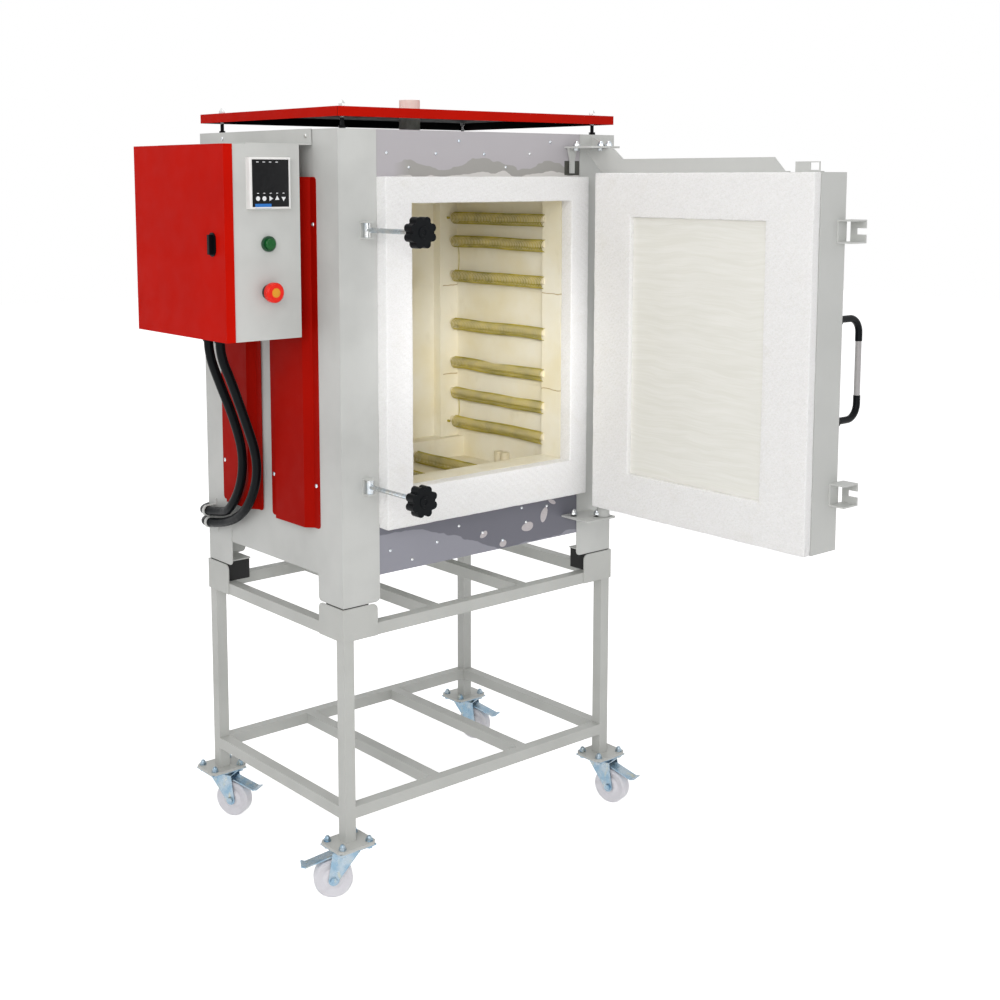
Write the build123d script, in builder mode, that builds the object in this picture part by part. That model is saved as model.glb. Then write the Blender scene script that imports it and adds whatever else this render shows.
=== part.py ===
"""Front loading porcelain kiln on a wheeled stand, millimetres, +Z up, front towards -Y."""

import math
import os

from build123d import *

os.makedirs("parts", exist_ok=True)

# Clearances
seat_gap = 0.3
run_gap = 0.05
swivel_gap = 0.2

# Kiln body
body_w = 750.0
body_d = 527.0
body_h = 949.0
post_drop = 54.0
post_front_l = 91.0
post_front_r = 105.0
post_side_f = 87.0
post_side_b = 97.0
post_back = 91.0
post_t = 2.5
post_end_r = 10.0
sheet_t = 1.5

# Stand
tube = 25.0
tube_wall = 2.0
stand_top = 562.0
shelf_top = 186.0
pad_h = 44.0
pad_side = 66.0
pad_r = 8.0
socket_t = 3.0
socket_leg = 86.0
socket_lap = 42.0
socket_r = 12.0

# Casters
wheel_d = 80.0
wheel_w = 30.0
wheel_dish = 4.0
hub_r = 14.0
caster_h = 108.0
mount_t = 3.0
weld_t = 6.0
plate_w = 92.0
plate_d = 78.0
over_x = 34.0
over_y = 30.0
plate_chamfer = 9.0
trail = 32.0
fork_t = 2.5
race_r = 27.0
race_h = 6.0
pin_r = 6.0
pin_head_r = 9.0
pin_head_h = 3.5
axle_r = 5.0
axle_head_h = 4.0
side_gap = 3.0
fork_back = 22.0
fork_front = 34.0
boss_r = 11.0
pedal_w = 31.0
pedal_t = 2.5
pedal_x = 30.0
pedal_z = 87.0
pedal_pin_r = 2.5
pedal_eye_r = 4.8
pedal_toe = 88.0
pedal_toe_z = 68.5
pedal_lip = 9.0
headings = {"fl": 150.0, "fr": 285.0, "bl": 300.0, "br": 295.0}

# Lining
lining_side = 60.0
lining_back = 37.0
lining_roof = 53.5
lining_floor = 58.5
brick_side = 76.0
brick_back = 76.0
brick_roof = 75.0
brick_floor = 70.0
brick_joint = 0.2
jamb_d = 61.0
jamb_in = 17.0
sill_h = 48.0
lintel_drop = 15.0
ledge_d = 48.0
pillar_w = 53.0
pillar_d = 25.0
course_low = 200.0
course_high = 415.0
prop_r = 10.0
prop_h = 32.0
prop_y = (132.0, 154.0)

# Heating coils
coil_r = 15.0
wire_t = 3.0
curls = 5
floor_lines = (-62.0, 88.0)
coil_drop = 59.0
coil_rise = 85.0
coil_gaps = (56.0, 82.0, 116.0, 93.0, 74.0, 70.0)
coil_off = 16.0
rod_r = 8.0
rod_sides = 12
rod_socket = 8.0
coil_end = 6.0
tail_r = 3.0
probe_r = 5.0
probe_x = -110.0
probe_down = 245.0
probe_in = 45.0

# Front ring
ring_out = 30.0
ring_w = 66.0
ring_lap = 25.0
ring_top_w = 53.0
ring_low_w = 81.0
ring_r_w = 52.0

# Lid and vent
lid_lift = 23.0
lid_h = 19.0
lid_t = 2.0
stud_in = 35.0
stud_r = 4.0
nut_af = 13.0
nut_h = 6.5
dome_h = 7.0
vent_r = 23.0
vent_bore = 13.0
vent_up = 33.0

# Door
door_gap = 0.5
hinge_in = 88.0
hinge_y = -67.0
door_edge = 84.0
door_heel = 1.0
door_under = 103.0
door_over = 61.0
felt_t = 22.0
case_d = 80.0
case_t = 1.5
case_lip = 18.0
felt_free = 113.0
felt_heel = 108.0
felt_top = 94.0
felt_low = 91.0
board_sink = 10.0
board_t = 52.0
strip_h = 29.0
strip_t = 2.0
strip_foot = 14.0
strip_len = 495.0
strip_slant = 28.0
tab_len = 62.0
tab_h = 20.0
hinge_pin_r = 6.0
bush_r = 14.0
bush_h = 20.0
bush_gap = 0.5
arm_t = 4.0
arm_l = 65.0
arm_r = 22.0
arm_reach = 85.0
arm_over = 24.0
arm_under = 27.0
pin_out = 6.0
leaf_t = 4.0
leaf_w = 60.0
leaf_tip = 51.0
leaf_low_t = 5.0
gusset_d = 50.0
gusset_h = 22.0
tongue_t = 5.0
tongue_w = 26.0
tongue_tip = 12.0
tongue_h = 54.0
tongue_in = 8.0
slot_w = 45.0
slot_h = 31.0

# Swing bolts and lock brackets
swing_x = 59.0
swing_in = {"upper": -112.0, "lower": 114.0}
swing_r = 5.0
swing_len = 176.0
eye_y = 12.0
eye_r = 8.0
eye_h = 27.6
eye_pin_r = 3.0
lug_w = 18.0
lug_d = 19.0
lug_t = 3.0
knob_r = 31.0
knob_h = 22.0
knob_hub_r = 13.0
knob_hub_h = 8.0
knob_at = 157.0
lobe_r = 8.0
lobe_n = 8
lock_out = 17.5
lock_reach = 35.0
lock_back = 27.5
lock_h = 45.0
lock_t = 3.0
slot_clear = 1.0
slot_deep = 21.0

# Door handle
grip_d = 12.0
grip_len = 108.0
grip_off = 69.5
grip_drop = 15.0
grip_in = 12.0
elbow_d = 14.0
elbow_h = 46.0
elbow_bend = 30.0
elbow_foot_r = 12.0
elbow_foot_h = 4.0

# Control box
box_gap = 36.0
box_w = 150.0
box_front = 80.0
box_len = 356.0
box_h = 376.0
box_under = 31.0
box_t = 1.5
lid_d = 20.0
lid_gap = 0.5
pin_off = 4.5
barrel_r = 4.0
barrel_h = 40.0
bar_h = 32.0
bar_t = 3.0
bar_front = 89.0
bar_back = 4.0
bar_bolt = 15.0
bar_washer_r = 8.0
spacer_y = 262.0
spacer_w = 25.0
spacer_up = 32.0
standoff_h = 30.0
plate_t = 2.0
plate_gap = 3.0
rail_h = 7.5
rail_w = 35.0
relay_n = 3
relay_y = 110.0
relay_step = 60.0
relay_w = 45.0
relay_d = 70.0
relay_up = 142.0
relay_h = 75.0
strip_n = 12
strip_p = 12.0
strip_up = 47.0
panel_mid = 74.0
meter_w = 92.0
meter_h = 98.0
meter_out = 14.0
meter_body = 84.0
meter_body_d = 75.0
meter_down = 74.0
face_w = 82.0
face_h = 90.0
face_sink = 1.0
face_t = 2.0
button_down = 190.0
button_r = 11.0
button_out = 13.0
button_travel = 4.0
stop_down = 283.0
stop_r = 19.5
stop_neck_r = 11.0
stop_out = 27.0
stop_cap_h = 13.0
stop_travel = 5.0
collar_r = 15.0
collar_h = 6.0
switch_in = 5.0
switch_body = 34.0
switch_body_d = 42.0
latch_y = 46.0
latch_down = 190.0
latch_h = 46.0
latch_w = 26.0
latch_out = 10.0
latch_wing = 8.0
latch_r = 5.0
cam_len = 30.0
cam_w = 14.0
cam_t = 3.0

# Conduits and rear cover
conduit_r = 10.0
gland_r = 13.0
gland_h = 22.0
clip_t = 2.0
clip_w = 8.0
clip_gap = 0.5
clip_foot = 14.0
conduit_points = {
    "front": (
        (-110.0, 270.0, 1126.0),
        (-109.5, 270.5, 1098.0),
        (-84.0, 272.0, 1042.0),
        (-55.0, 269.0, 958.0),
        (-35.0, 260.0, 886.0),
        (-29.0, 271.0, 822.0),
        (-29.0, 318.0, 752.0),
        (-17.0, 425.0, 704.0),
        (-25.0, body_d + 24.0, 692.0),
        (88.0, body_d + 20.0, 696.0),
    ),
    "rear": (
        (-110.0, 317.0, 1126.0),
        (-109.5, 317.5, 1098.0),
        (-84.0, 322.0, 1036.0),
        (-56.0, 317.0, 962.0),
        (-34.0, 316.0, 884.0),
        (-29.0, 333.0, 810.0),
        (-29.0, 383.0, 746.0),
        (-18.0, 440.0, 728.0),
        (-25.0, body_d + 24.0, 718.0),
        (88.0, body_d + 20.0, 723.0),
    ),
}
cover_in = 110.0
cover_d = 40.0
cover_up = 15.0
cover_down = 80.0
cover_t = 1.5
louvre_w = 60.0
louvre_h = 8.0
louvre_step = 24.0
louvre_n = 5
inlet_x = 560.0
cover_rim = 12.0

# Red side panels
panel_up = 95.0
panel_down = 93.0
panel_t = 1.2
panel_flange = 20.0
panel_slope = 16.0
panel_out = 14.0
panel_span = ((76.0, 256.0), (293.0, 457.0))
panel_r = 8.0

# The origin lies on the floor under the middle of the whole outline, with the door open
hinge_x = body_w - hinge_in
door_free = hinge_x - door_edge
x_far = hinge_x + ring_out + door_gap + hinge_y + felt_t + case_d + grip_off + grip_d / 2
x_near = -box_gap - box_w - lid_d - latch_out
y_far = body_d - post_t + cover_d
y_near = hinge_y - door_free - lock_reach
left = -(x_far + x_near) / 2
front = -(y_far + y_near) / 2
right = left + body_w
back = front + body_d
mid_x = left + body_w / 2
mid_y = front + body_d / 2

# Heights and faces that follow from the sizes above
post_low = stand_top + pad_h
body_low = post_low + post_drop
body_top = post_low + body_h
leg_low = caster_h + weld_t
lid_low = body_top + lid_lift
lid_top = lid_low + lid_h
inset = post_t + sheet_t
shell_l = left + inset + lining_side
shell_r = right - inset - lining_side
shell_b = back - inset - lining_back
shell_low = body_low + sheet_t + lining_floor
floor_z = shell_low + brick_floor
sill_z = floor_z + sill_h
shell_top = body_top - sheet_t - lining_roof
roof_z = shell_top - brick_roof
wall_l = shell_l + brick_side
wall_r = shell_r - brick_side
wall_b = shell_b - brick_back
jamb_b = front + inset + jamb_d
open_l = wall_l + jamb_in
open_r = wall_r - jamb_in
open_top = roof_z - lintel_drop
pillar_f = wall_b - pillar_d
ledge_f = wall_b - ledge_d
joint_low = floor_z + course_low
joint_high = floor_z + course_high
coil_share = (roof_z - coil_drop - floor_z - coil_rise) / sum(coil_gaps)
coil_rows = [
    roof_z - coil_drop - coil_share * sum(coil_gaps[:row]) for row in range(len(coil_gaps) + 1)
]
probe_z = roof_z - probe_down
door_low = sill_z - door_under
door_high = open_top + door_over
arm_top_z = door_high + strip_h + arm_over
arm_low_z = door_low - arm_under
swing_z = {"upper": door_high + swing_in["upper"], "lower": door_low + swing_in["lower"]}
grip_z = (door_low + door_high) / 2 - grip_drop
box_high = body_top - box_under
box_low = box_high - box_h
spacer_z = box_low + spacer_up
relay_z = box_low + relay_up
strip_z = box_low + strip_up
meter_z = box_high - meter_down
button_z = box_high - button_down
stop_z = box_high - stop_down
latch_z = box_high - latch_down
cover_low = body_low + cover_up
cover_high = body_top - cover_down
panel_low = body_low + panel_up
panel_high = body_top - panel_down


def block(x0, x1, y0, y1, z0, z1, mode=Mode.ADD):
    """Add or cut a rectangular block given by its limits along each axis."""
    with Locations(((x0 + x1) / 2, (y0 + y1) / 2, (z0 + z1) / 2)):
        Box(abs(x1 - x0), abs(y1 - y0), abs(z1 - z0), mode=mode)


def rod_y(points, radius, y0, y1, mode=Mode.ADD):
    """Add or cut round bars along Y at each (x, z), from y0 to y1."""
    with Locations(*[Plane((x, (y0 + y1) / 2, z), z_dir=(0, 1, 0)) for x, z in points]):
        Cylinder(radius, y1 - y0, mode=mode)


def facet_y(points, radius, y0, y1, mode=Mode.ADD):
    """Add or cut bars along Y with few sides, for forms that come many times."""
    with BuildSketch(Plane((0, y0, 0), x_dir=(1, 0, 0), z_dir=(0, 1, 0))) as section:
        with Locations(*[(x, -z) for x, z in points]):
            RegularPolygon(radius, rod_sides)
    extrude(section.sketch, amount=y1 - y0, mode=mode)


def angle_outline(x, y, sx, sy, leg_x, leg_y, t):
    """Draw the closed L outline of a folded angle whose outer corner is at x, y."""
    with BuildLine() as outline:
        Polyline(
            (x, y),
            (x + sx * leg_x, y),
            (x + sx * leg_x, y + sy * t),
            (x + sx * t, y + sy * t),
            (x + sx * t, y + sy * leg_y),
            (x, y + sy * leg_y),
            close=True,
        )
    make_face(outline.edges())


# Corner posts: folded angles that run below the body as four feet
post_corners = (
    (left, front, 1, 1, post_front_l, post_side_f),
    (right, front, -1, 1, post_front_r, post_side_f),
    (left, back, 1, -1, post_back, post_side_b),
    (right, back, -1, -1, post_back, post_side_b),
)
with BuildPart() as corner_posts:
    with BuildSketch(Plane.XY.offset(post_low)):
        for px, py, sx, sy, flange_x, flange_y in post_corners:
            angle_outline(px, py, sx, sy, flange_x, flange_y, post_t)
    extrude(amount=body_h)
    post_ends = corner_posts.edges().filter_by(lambda e: abs(e.length - post_t) < 0.01)
    fillet(post_ends.group_by(Axis.Z)[0], radius=post_end_r)
    for px, py, sx, sy, flange_x, flange_y in post_corners:
        x0 = px + sx * post_t
        y0 = py + sy * post_t
        block(x0, px + sx * pad_side, y0, py + sy * pad_side, post_low, post_low + post_t)
corner_posts.part.label = "corner_posts"
export_step(corner_posts.part, "parts/corner_posts.step")

# Rubber pads between the posts and the stand
with BuildPart() as post_pads:
    with BuildSketch(Plane.XY.offset(stand_top)):
        for px, py, sx, sy, flange_x, flange_y in post_corners:
            with Locations((px + sx * pad_side / 2, py + sy * pad_side / 2)):
                RectangleRounded(pad_side, pad_side, pad_r)
    extrude(amount=pad_h)
post_pads.part.label = "post_pads"
export_step(post_pads.part, "parts/post_pads.step")

# Passages through the back wall: two element tails a side and the temperature probe
coil_x = (wall_l + coil_off, wall_r - coil_off)
tail_off = coil_r - wire_t / 2
tail_rows = (coil_rows[0], coil_rows[-1])
tail_at = [(coil_x[0] + tail_off, row) for row in tail_rows]
tail_at += [(coil_x[1] - tail_off, row) for row in tail_rows]
probe_at = [(mid_x + probe_x, probe_z)]
vent_at = (mid_x, mid_y)


def cut_passages(y0, y1):
    """Cut the element and probe passages between two depths."""
    rod_y(tail_at, tail_r + seat_gap, y0, y1, Mode.SUBTRACT)
    rod_y(probe_at, probe_r + seat_gap, y0, y1, Mode.SUBTRACT)


# Sheet metal skin behind the posts
with BuildPart() as skin_sheets:
    side_b = back - post_t
    block(left + post_t, left + inset, front + post_t, side_b, body_low, body_top)
    block(right - inset, right - post_t, front + post_t, side_b, body_low, body_top)
    edge_l = left + inset + brick_joint
    edge_r = right - inset - brick_joint
    block(edge_l, edge_r, back - inset, back - post_t, body_low, body_top)
    cut_passages(back - inset - 1, back - post_t + 1)
    edge_f = front + inset + brick_joint
    edge_b = back - inset - brick_joint
    block(edge_l, edge_r, edge_f, edge_b, body_low, body_low + sheet_t)
    block(edge_l, edge_r, edge_f, edge_b, body_top - sheet_t, body_top)
    with Locations((*vent_at, body_top)):
        Cylinder(vent_r + seat_gap, 4 * sheet_t, mode=Mode.SUBTRACT)
skin_sheets.part.label = "skin_sheets"
export_step(skin_sheets.part, "parts/skin_sheets.step")

# Front sheet with the opening and the slot behind the upper hinge
ring_l = open_l - ring_w
ring_r = open_r + ring_r_w
ring_top = open_top + ring_top_w
ring_low = sill_z - ring_low_w
lap_l = open_l - ring_lap
lap_r = open_r + ring_lap
lap_top = open_top + ring_lap
lap_low = sill_z - ring_lap
slot_x = right - post_front_r
with BuildPart() as front_sheet:
    sheet_f = front + post_t
    block(left + inset, right - inset, sheet_f, front + inset, body_low, body_top)
    block(lap_l, lap_r, front, front + jamb_d, lap_low, lap_top, Mode.SUBTRACT)
    slot_low = ring_top + 3
    block(
        slot_x - slot_w,
        slot_x,
        front,
        front + jamb_d,
        slot_low,
        slot_low + slot_h,
        Mode.SUBTRACT,
    )
front_sheet.part.label = "front_sheet"
export_step(front_sheet.part, "parts/front_sheet.step")

# Backing boards between the skin and the bricks
board_low = body_low + sheet_t
board_top = body_top - sheet_t
with BuildPart() as backing_boards:
    g = brick_joint
    block(left + inset, shell_l - g, front + inset, back - inset, board_low, board_top)
    block(shell_r + g, right - inset, front + inset, back - inset, board_low, board_top)
    block(shell_l, shell_r, shell_b + g, back - inset, board_low, board_top)
    block(shell_l, shell_r, front + inset, shell_b, board_low, shell_low - g)
    block(shell_l, shell_r, front + inset, shell_b, shell_top + g, board_top)
    with Locations((*vent_at, board_top)):
        Cylinder(vent_r + seat_gap, 3 * lining_roof, mode=Mode.SUBTRACT)
    cut_passages(shell_b, back)
backing_boards.part.label = "backing_boards"
export_step(backing_boards.part, "parts/backing_boards.step")

# Fire bricks of the side walls, in three courses
courses = (
    (floor_z, joint_low - brick_joint),
    (joint_low, joint_high - brick_joint),
    (joint_high, roof_z),
)
with BuildPart() as side_bricks:
    for z0, z1 in courses:
        block(shell_l, wall_l, jamb_b, wall_b, z0, z1)
        block(wall_r, shell_r, jamb_b, wall_b, z0, z1)
side_bricks.part.label = "side_bricks"
export_step(side_bricks.part, "parts/side_bricks.step")

# Back wall with the corner pillars that hold the rear ends of the coil rods
rod_up = coil_r - wire_t - rod_r - seat_gap
rod_at = [(x, z + rod_up) for x in coil_x for z in coil_rows]
floor_coil_z = floor_z + coil_r + seat_gap
floor_rod_at = [(mid_x + x, floor_coil_z + rod_up) for x in floor_lines]
with BuildPart() as back_bricks:
    for z0, z1 in courses:
        z0 = max(z0, sill_z)
        block(shell_l, shell_r, wall_b, shell_b, z0, z1)
        block(wall_l, wall_l + pillar_w, pillar_f, wall_b, z0, z1)
        block(wall_r - pillar_w, wall_r, pillar_f, wall_b, z0, z1)
    cut_passages(pillar_f - 1, shell_b + 1)
    facet_y(rod_at, rod_r + seat_gap, pillar_f - 1, pillar_f + rod_socket, Mode.SUBTRACT)
back_bricks.part.label = "back_bricks"
export_step(back_bricks.part, "parts/back_bricks.step")

with BuildPart() as roof_bricks:
    block(shell_l, shell_r, jamb_b, shell_b, roof_z, shell_top)
    with Locations((*vent_at, roof_z)):
        Cylinder(vent_r + seat_gap, 3 * brick_roof, mode=Mode.SUBTRACT)
roof_bricks.part.label = "roof_bricks"
export_step(roof_bricks.part, "parts/roof_bricks.step")

# Hearth with the ledge along its back
with BuildPart() as floor_bricks:
    block(shell_l, shell_r, jamb_b, shell_b, shell_low, floor_z)
    block(wall_l, wall_r, ledge_f, wall_b, floor_z, sill_z)
    block(shell_l, shell_r, wall_b, shell_b, floor_z, sill_z)
    rod_y(floor_rod_at, rod_r + seat_gap, ledge_f - 1, ledge_f + rod_socket, Mode.SUBTRACT)
floor_bricks.part.label = "floor_bricks"
export_step(floor_bricks.part, "parts/floor_bricks.step")

# Jamb: lintel, sill and the two cheeks that hold the front ends of the coil rods
with BuildPart() as jamb_bricks:
    g = brick_joint
    block(shell_l, shell_r, front + inset, jamb_b, shell_low, sill_z)
    block(shell_l, shell_r, front + inset, jamb_b, open_top + g, shell_top)
    cheeks = ((sill_z + g, joint_low), (joint_low + g, joint_high), (joint_high + g, open_top))
    for z0, z1 in cheeks:
        block(shell_l, open_l, front + inset, jamb_b, z0, z1)
        block(open_r, shell_r, front + inset, jamb_b, z0, z1)
    sockets = rod_at + floor_rod_at
    facet_y(sockets, rod_r + seat_gap, jamb_b - rod_socket, jamb_b + 1, Mode.SUBTRACT)
jamb_bricks.part.label = "jamb_bricks"
export_step(jamb_bricks.part, "parts/jamb_bricks.step")

# Fibre ring round the opening, four strips with a tongue inside the sheet's cut-out
ring_y = front - ring_out
with BuildPart() as fibre_ring:
    g = brick_joint
    block(ring_l, ring_r, ring_y, front + post_t, open_top, ring_top)
    block(ring_l, ring_r, ring_y, front + post_t, ring_low, sill_z)
    block(ring_l, open_l, ring_y, front + post_t, sill_z + g, open_top - g)
    block(open_r, ring_r, ring_y, front + post_t, sill_z + g, open_top - g)
    block(lap_l, lap_r, front + post_t, front + inset, open_top, lap_top)
    block(lap_l, lap_r, front + post_t, front + inset, lap_low, sill_z)
    block(lap_l, open_l, front + post_t, front + inset, sill_z + g, open_top - g)
    block(open_r, lap_r, front + post_t, front + inset, sill_z + g, open_top - g)
fibre_ring.part.label = "fibre_ring"
export_step(fibre_ring.part, "parts/fibre_ring.step")


def coil_point(x, z, y0, pitch, turn):
    """Return the middle of the wire and its direction after so many turns."""
    a = math.pi + 2 * math.pi * turn
    r = coil_r - wire_t / 2
    point = Vector(x + r * math.cos(a), y0 + pitch * turn, z + r * math.sin(a))
    way = Vector(-2 * math.pi * r * math.sin(a), pitch, 2 * math.pi * r * math.cos(a))
    return point, way.normalized()


def biarc_middle(p0, t0, p1, t1):
    """Return the point and direction where two arcs of equal reach meet between p0 and p1."""
    v = p1 - p0
    vt = v.dot(t0 + t1)
    den = 2 * (1 - t0.dot(t1))
    d = (-vt + math.sqrt(vt * vt + den * v.dot(v))) / den
    a = p0 + t0 * d
    b = p1 - t1 * d
    return (a + b) * 0.5, (b - a).normalized()


# Wound coils of the right wall, each one unbroken wire over a ceramic rod
coil_y0 = jamb_b + coil_end
wire_edge = []
for i in range(4):
    a = 2 * math.pi * (i + 0.13) / 4
    wire_edge.append((wire_t / 2 * math.cos(a), wire_t / 2 * math.sin(a)))
wound = [(coil_x[1], row, pillar_f - coil_end) for row in coil_rows]
coils = []
for x, z, coil_y1 in wound:
    start = coil_y0 + wire_t / 2
    pitch = (coil_y1 - coil_y0 - wire_t) / curls
    with BuildPart() as coil:
        with BuildLine():
            for third in range(3 * curls):
                p0, t0 = coil_point(x, z, start, pitch, third / 3)
                p1, t1 = coil_point(x, z, start, pitch, (third + 1) / 3)
                q, tq = biarc_middle(p0, t0, p1, t1)
                TangentArc(p0, q, tangent=t0)
                TangentArc(q, p1, tangent=tq)
        p0, t0 = coil_point(x, z, start, pitch, 0)
        with BuildSketch(Plane(p0, x_dir=(1, 0, 0), z_dir=t0)):
            with BuildLine():
                Polyline(*wire_edge, close=True)
            make_face()
        sweep(clean=False)
    coils.append(coil.part)
coils_wound = Compound(label="coils_wound", children=coils)
export_step(coils_wound, "parts/coils_wound.step")

coil_pitch = (pillar_f - coil_end - coil_y0 - wire_t) / curls
track = [coil_point(0, 0, 0, coil_pitch, i / 24)[0] for i in range(24 * curls + 1)]
near = min((a - b).length for i, a in enumerate(track) for b in track[i + 12 :])
print("coil wire: least gap to itself", round(near - wire_t, 2))

# Coils of the left wall and of the floor, sleeves of the same size
with BuildPart() as coils_plain:
    wall_rows = [(coil_x[0], row) for row in coil_rows]
    floor_rows = [(mid_x + line, floor_coil_z) for line in floor_lines]
    facet_y(wall_rows, coil_r, coil_y0, pillar_f - coil_end)
    facet_y(floor_rows, coil_r, coil_y0, ledge_f - coil_end)
    facet_y(wall_rows + floor_rows, coil_r - wire_t, coil_y0, pillar_f - coil_end, Mode.SUBTRACT)
coils_plain.part.label = "coils_plain"
export_step(coils_plain.part, "parts/coils_plain.step")

# Ceramic rods let into the jamb, the pillars and the ledge, and two props on the floor
with BuildPart() as ceramic_rods:
    facet_y(rod_at, rod_r, jamb_b - rod_socket, pillar_f + rod_socket)
    facet_y(floor_rod_at, rod_r, jamb_b - rod_socket, ledge_f + rod_socket)
    with Locations(*[(wall_r - prop_r - 1, jamb_b + y, floor_z) for y in prop_y]):
        Cylinder(prop_r, prop_h, align=(Align.CENTER, Align.CENTER, Align.MIN))
ceramic_rods.part.label = "ceramic_rods"
export_step(ceramic_rods.part, "parts/ceramic_rods.step")

# Element tails and the temperature probe, from the chamber to the rear cover
lead_end = back - post_t + cover_d / 2
with BuildPart() as back_leads:
    rod_y(tail_at, tail_r, pillar_f - coil_end + seat_gap, lead_end)
    rod_y(probe_at, probe_r, wall_b - probe_in, lead_end)
    rod_y(probe_at, 2 * probe_r, back - post_t, back - post_t + probe_r)
back_leads.part.label = "back_leads"
export_step(back_leads.part, "parts/back_leads.step")

# Vent tube through the roof, the lid and its four studs
vent_top = lid_top + vent_up
with BuildPart() as vent_tube:
    with BuildSketch(Plane.XY.offset(roof_z)):
        with Locations(vent_at):
            Circle(vent_r)
            Circle(vent_bore, mode=Mode.SUBTRACT)
    extrude(amount=vent_top - roof_z)
vent_tube.part.label = "vent_tube"
export_step(vent_tube.part, "parts/vent_tube.step")

stud_at = [
    (left + stud_in, front + stud_in),
    (right - stud_in, front + stud_in),
    (left + stud_in, back - stud_in),
    (right - stud_in, back - stud_in),
]
with BuildPart() as lid_plate:
    with BuildSketch(Plane.XY.offset(lid_low)):
        with Locations((mid_x, mid_y)):
            Rectangle(body_w, body_d)
    extrude(amount=lid_h)
    fillet(lid_plate.edges().filter_by(Axis.Z), radius=2 * lid_t)
    offset(amount=-lid_t, openings=lid_plate.faces().sort_by(Axis.Z)[0])
    with Locations(*[(x, y, lid_top) for x, y in stud_at]):
        Cylinder(stud_r + seat_gap, 4 * lid_t, mode=Mode.SUBTRACT)
    with Locations((*vent_at, lid_top)):
        Cylinder(vent_r + 2, 4 * lid_t, mode=Mode.SUBTRACT)
lid_plate.part.label = "lid_plate"
export_step(lid_plate.part, "parts/lid_plate.step")

with BuildPart() as lid_studs:
    with Locations(*[(x, y, body_top) for x, y in stud_at]):
        Cylinder(stud_r, lid_top - body_top, align=(Align.CENTER, Align.CENTER, Align.MIN))
    for z, rise, slope in (
        (body_top, nut_h, 0),
        (lid_top - lid_t - nut_h, nut_h, 0),
        (lid_top, nut_h, 0),
        (lid_top + nut_h, dome_h, 32),
    ):
        with BuildSketch(Plane.XY.offset(z)):
            with Locations(*stud_at):
                RegularPolygon(nut_af / 2, 6, major_radius=False)
        extrude(amount=rise, taper=slope)
lid_studs.part.label = "lid_studs"
export_step(lid_studs.part, "parts/lid_studs.step")

# Red vent panels: a raised air channel between two screwed flanges
with BuildPart() as vent_panels:
    for x, out in ((left, -1), (right, 1)):
        for low_y, high_y in panel_span:
            y0 = front + low_y
            y1 = front + high_y
            a = panel_flange
            b = panel_flange + panel_slope
            top = x + out * panel_out
            t = out * panel_t
            s = panel_t / 2
            with BuildSketch(Plane.XY.offset(panel_low)):
                with BuildLine():
                    Polyline(
                        (x, y0),
                        (x, y0 + a),
                        (top, y0 + b),
                        (top, y1 - b),
                        (x, y1 - a),
                        (x, y1),
                        (x + t, y1),
                        (x + t, y1 - a + s),
                        (top + t, y1 - b + s),
                        (top + t, y0 + b - s),
                        (x + t, y0 + a - s),
                        (x + t, y0),
                        close=True,
                    )
                make_face()
            extrude(amount=panel_high - panel_low)
    flange_ends = vent_panels.edges().filter_by(lambda e: abs(e.length - panel_t) < 0.01)
    fillet(flange_ends.filter_by(Axis.X), radius=panel_r)
vent_panels.part.label = "vent_panels"
export_step(vent_panels.part, "parts/vent_panels.step")

# Casters: where each one swivels, and the bolts of its plates
swivels = {
    "fl": (left - over_x + plate_w / 2, front - over_y + plate_d / 2),
    "fr": (right + over_x - plate_w / 2, front - over_y + plate_d / 2),
    "bl": (left - over_x + plate_w / 2, back + over_y - plate_d / 2),
    "br": (right + over_x - plate_w / 2, back + over_y - plate_d / 2),
}

# Stand legs, each welded on its caster plate
leg_x = (left + tube / 2, right - tube / 2)
leg_y = (front + tube / 2, back - tube / 2)
with BuildPart() as stand_legs:
    with BuildSketch(Plane.XY.offset(caster_h)):
        with Locations(*swivels.values()):
            Rectangle(plate_w, plate_d)
    extrude(amount=weld_t)
    chamfer(stand_legs.edges().filter_by(Axis.Z), length=plate_chamfer)
    with BuildSketch(Plane.XY.offset(leg_low)):
        with Locations(*[(x, y) for x in leg_x for y in leg_y]):
            Rectangle(tube, tube)
            Rectangle(tube - 2 * tube_wall, tube - 2 * tube_wall, mode=Mode.SUBTRACT)
    extrude(amount=stand_top - leg_low)
stand_legs.part.label = "stand_legs"
export_step(stand_legs.part, "parts/stand_legs.step")

# Two levels of rails: front and back rails, side rails and two cross bars each
cross_x = [left + body_w * i / 3 for i in (1, 2)]
with BuildPart() as stand_rails:
    for top in (stand_top, shelf_top):
        z = top - tube / 2
        with BuildSketch(Plane.YZ.offset(left + tube)):
            with Locations(*[(y, z) for y in leg_y]):
                Rectangle(tube, tube)
                Rectangle(tube - 2 * tube_wall, tube - 2 * tube_wall, mode=Mode.SUBTRACT)
        extrude(amount=body_w - 2 * tube)
        with BuildSketch(Plane.XZ.offset(-(front + tube + brick_joint))):
            with Locations(*[(x, z) for x in (*leg_x, *cross_x)]):
                Rectangle(tube, tube)
                Rectangle(tube - 2 * tube_wall, tube - 2 * tube_wall, mode=Mode.SUBTRACT)
        extrude(amount=-(body_d - 2 * tube - 2 * brick_joint))
stand_rails.part.label = "stand_rails"
export_step(stand_rails.part, "parts/stand_rails.step")

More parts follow.
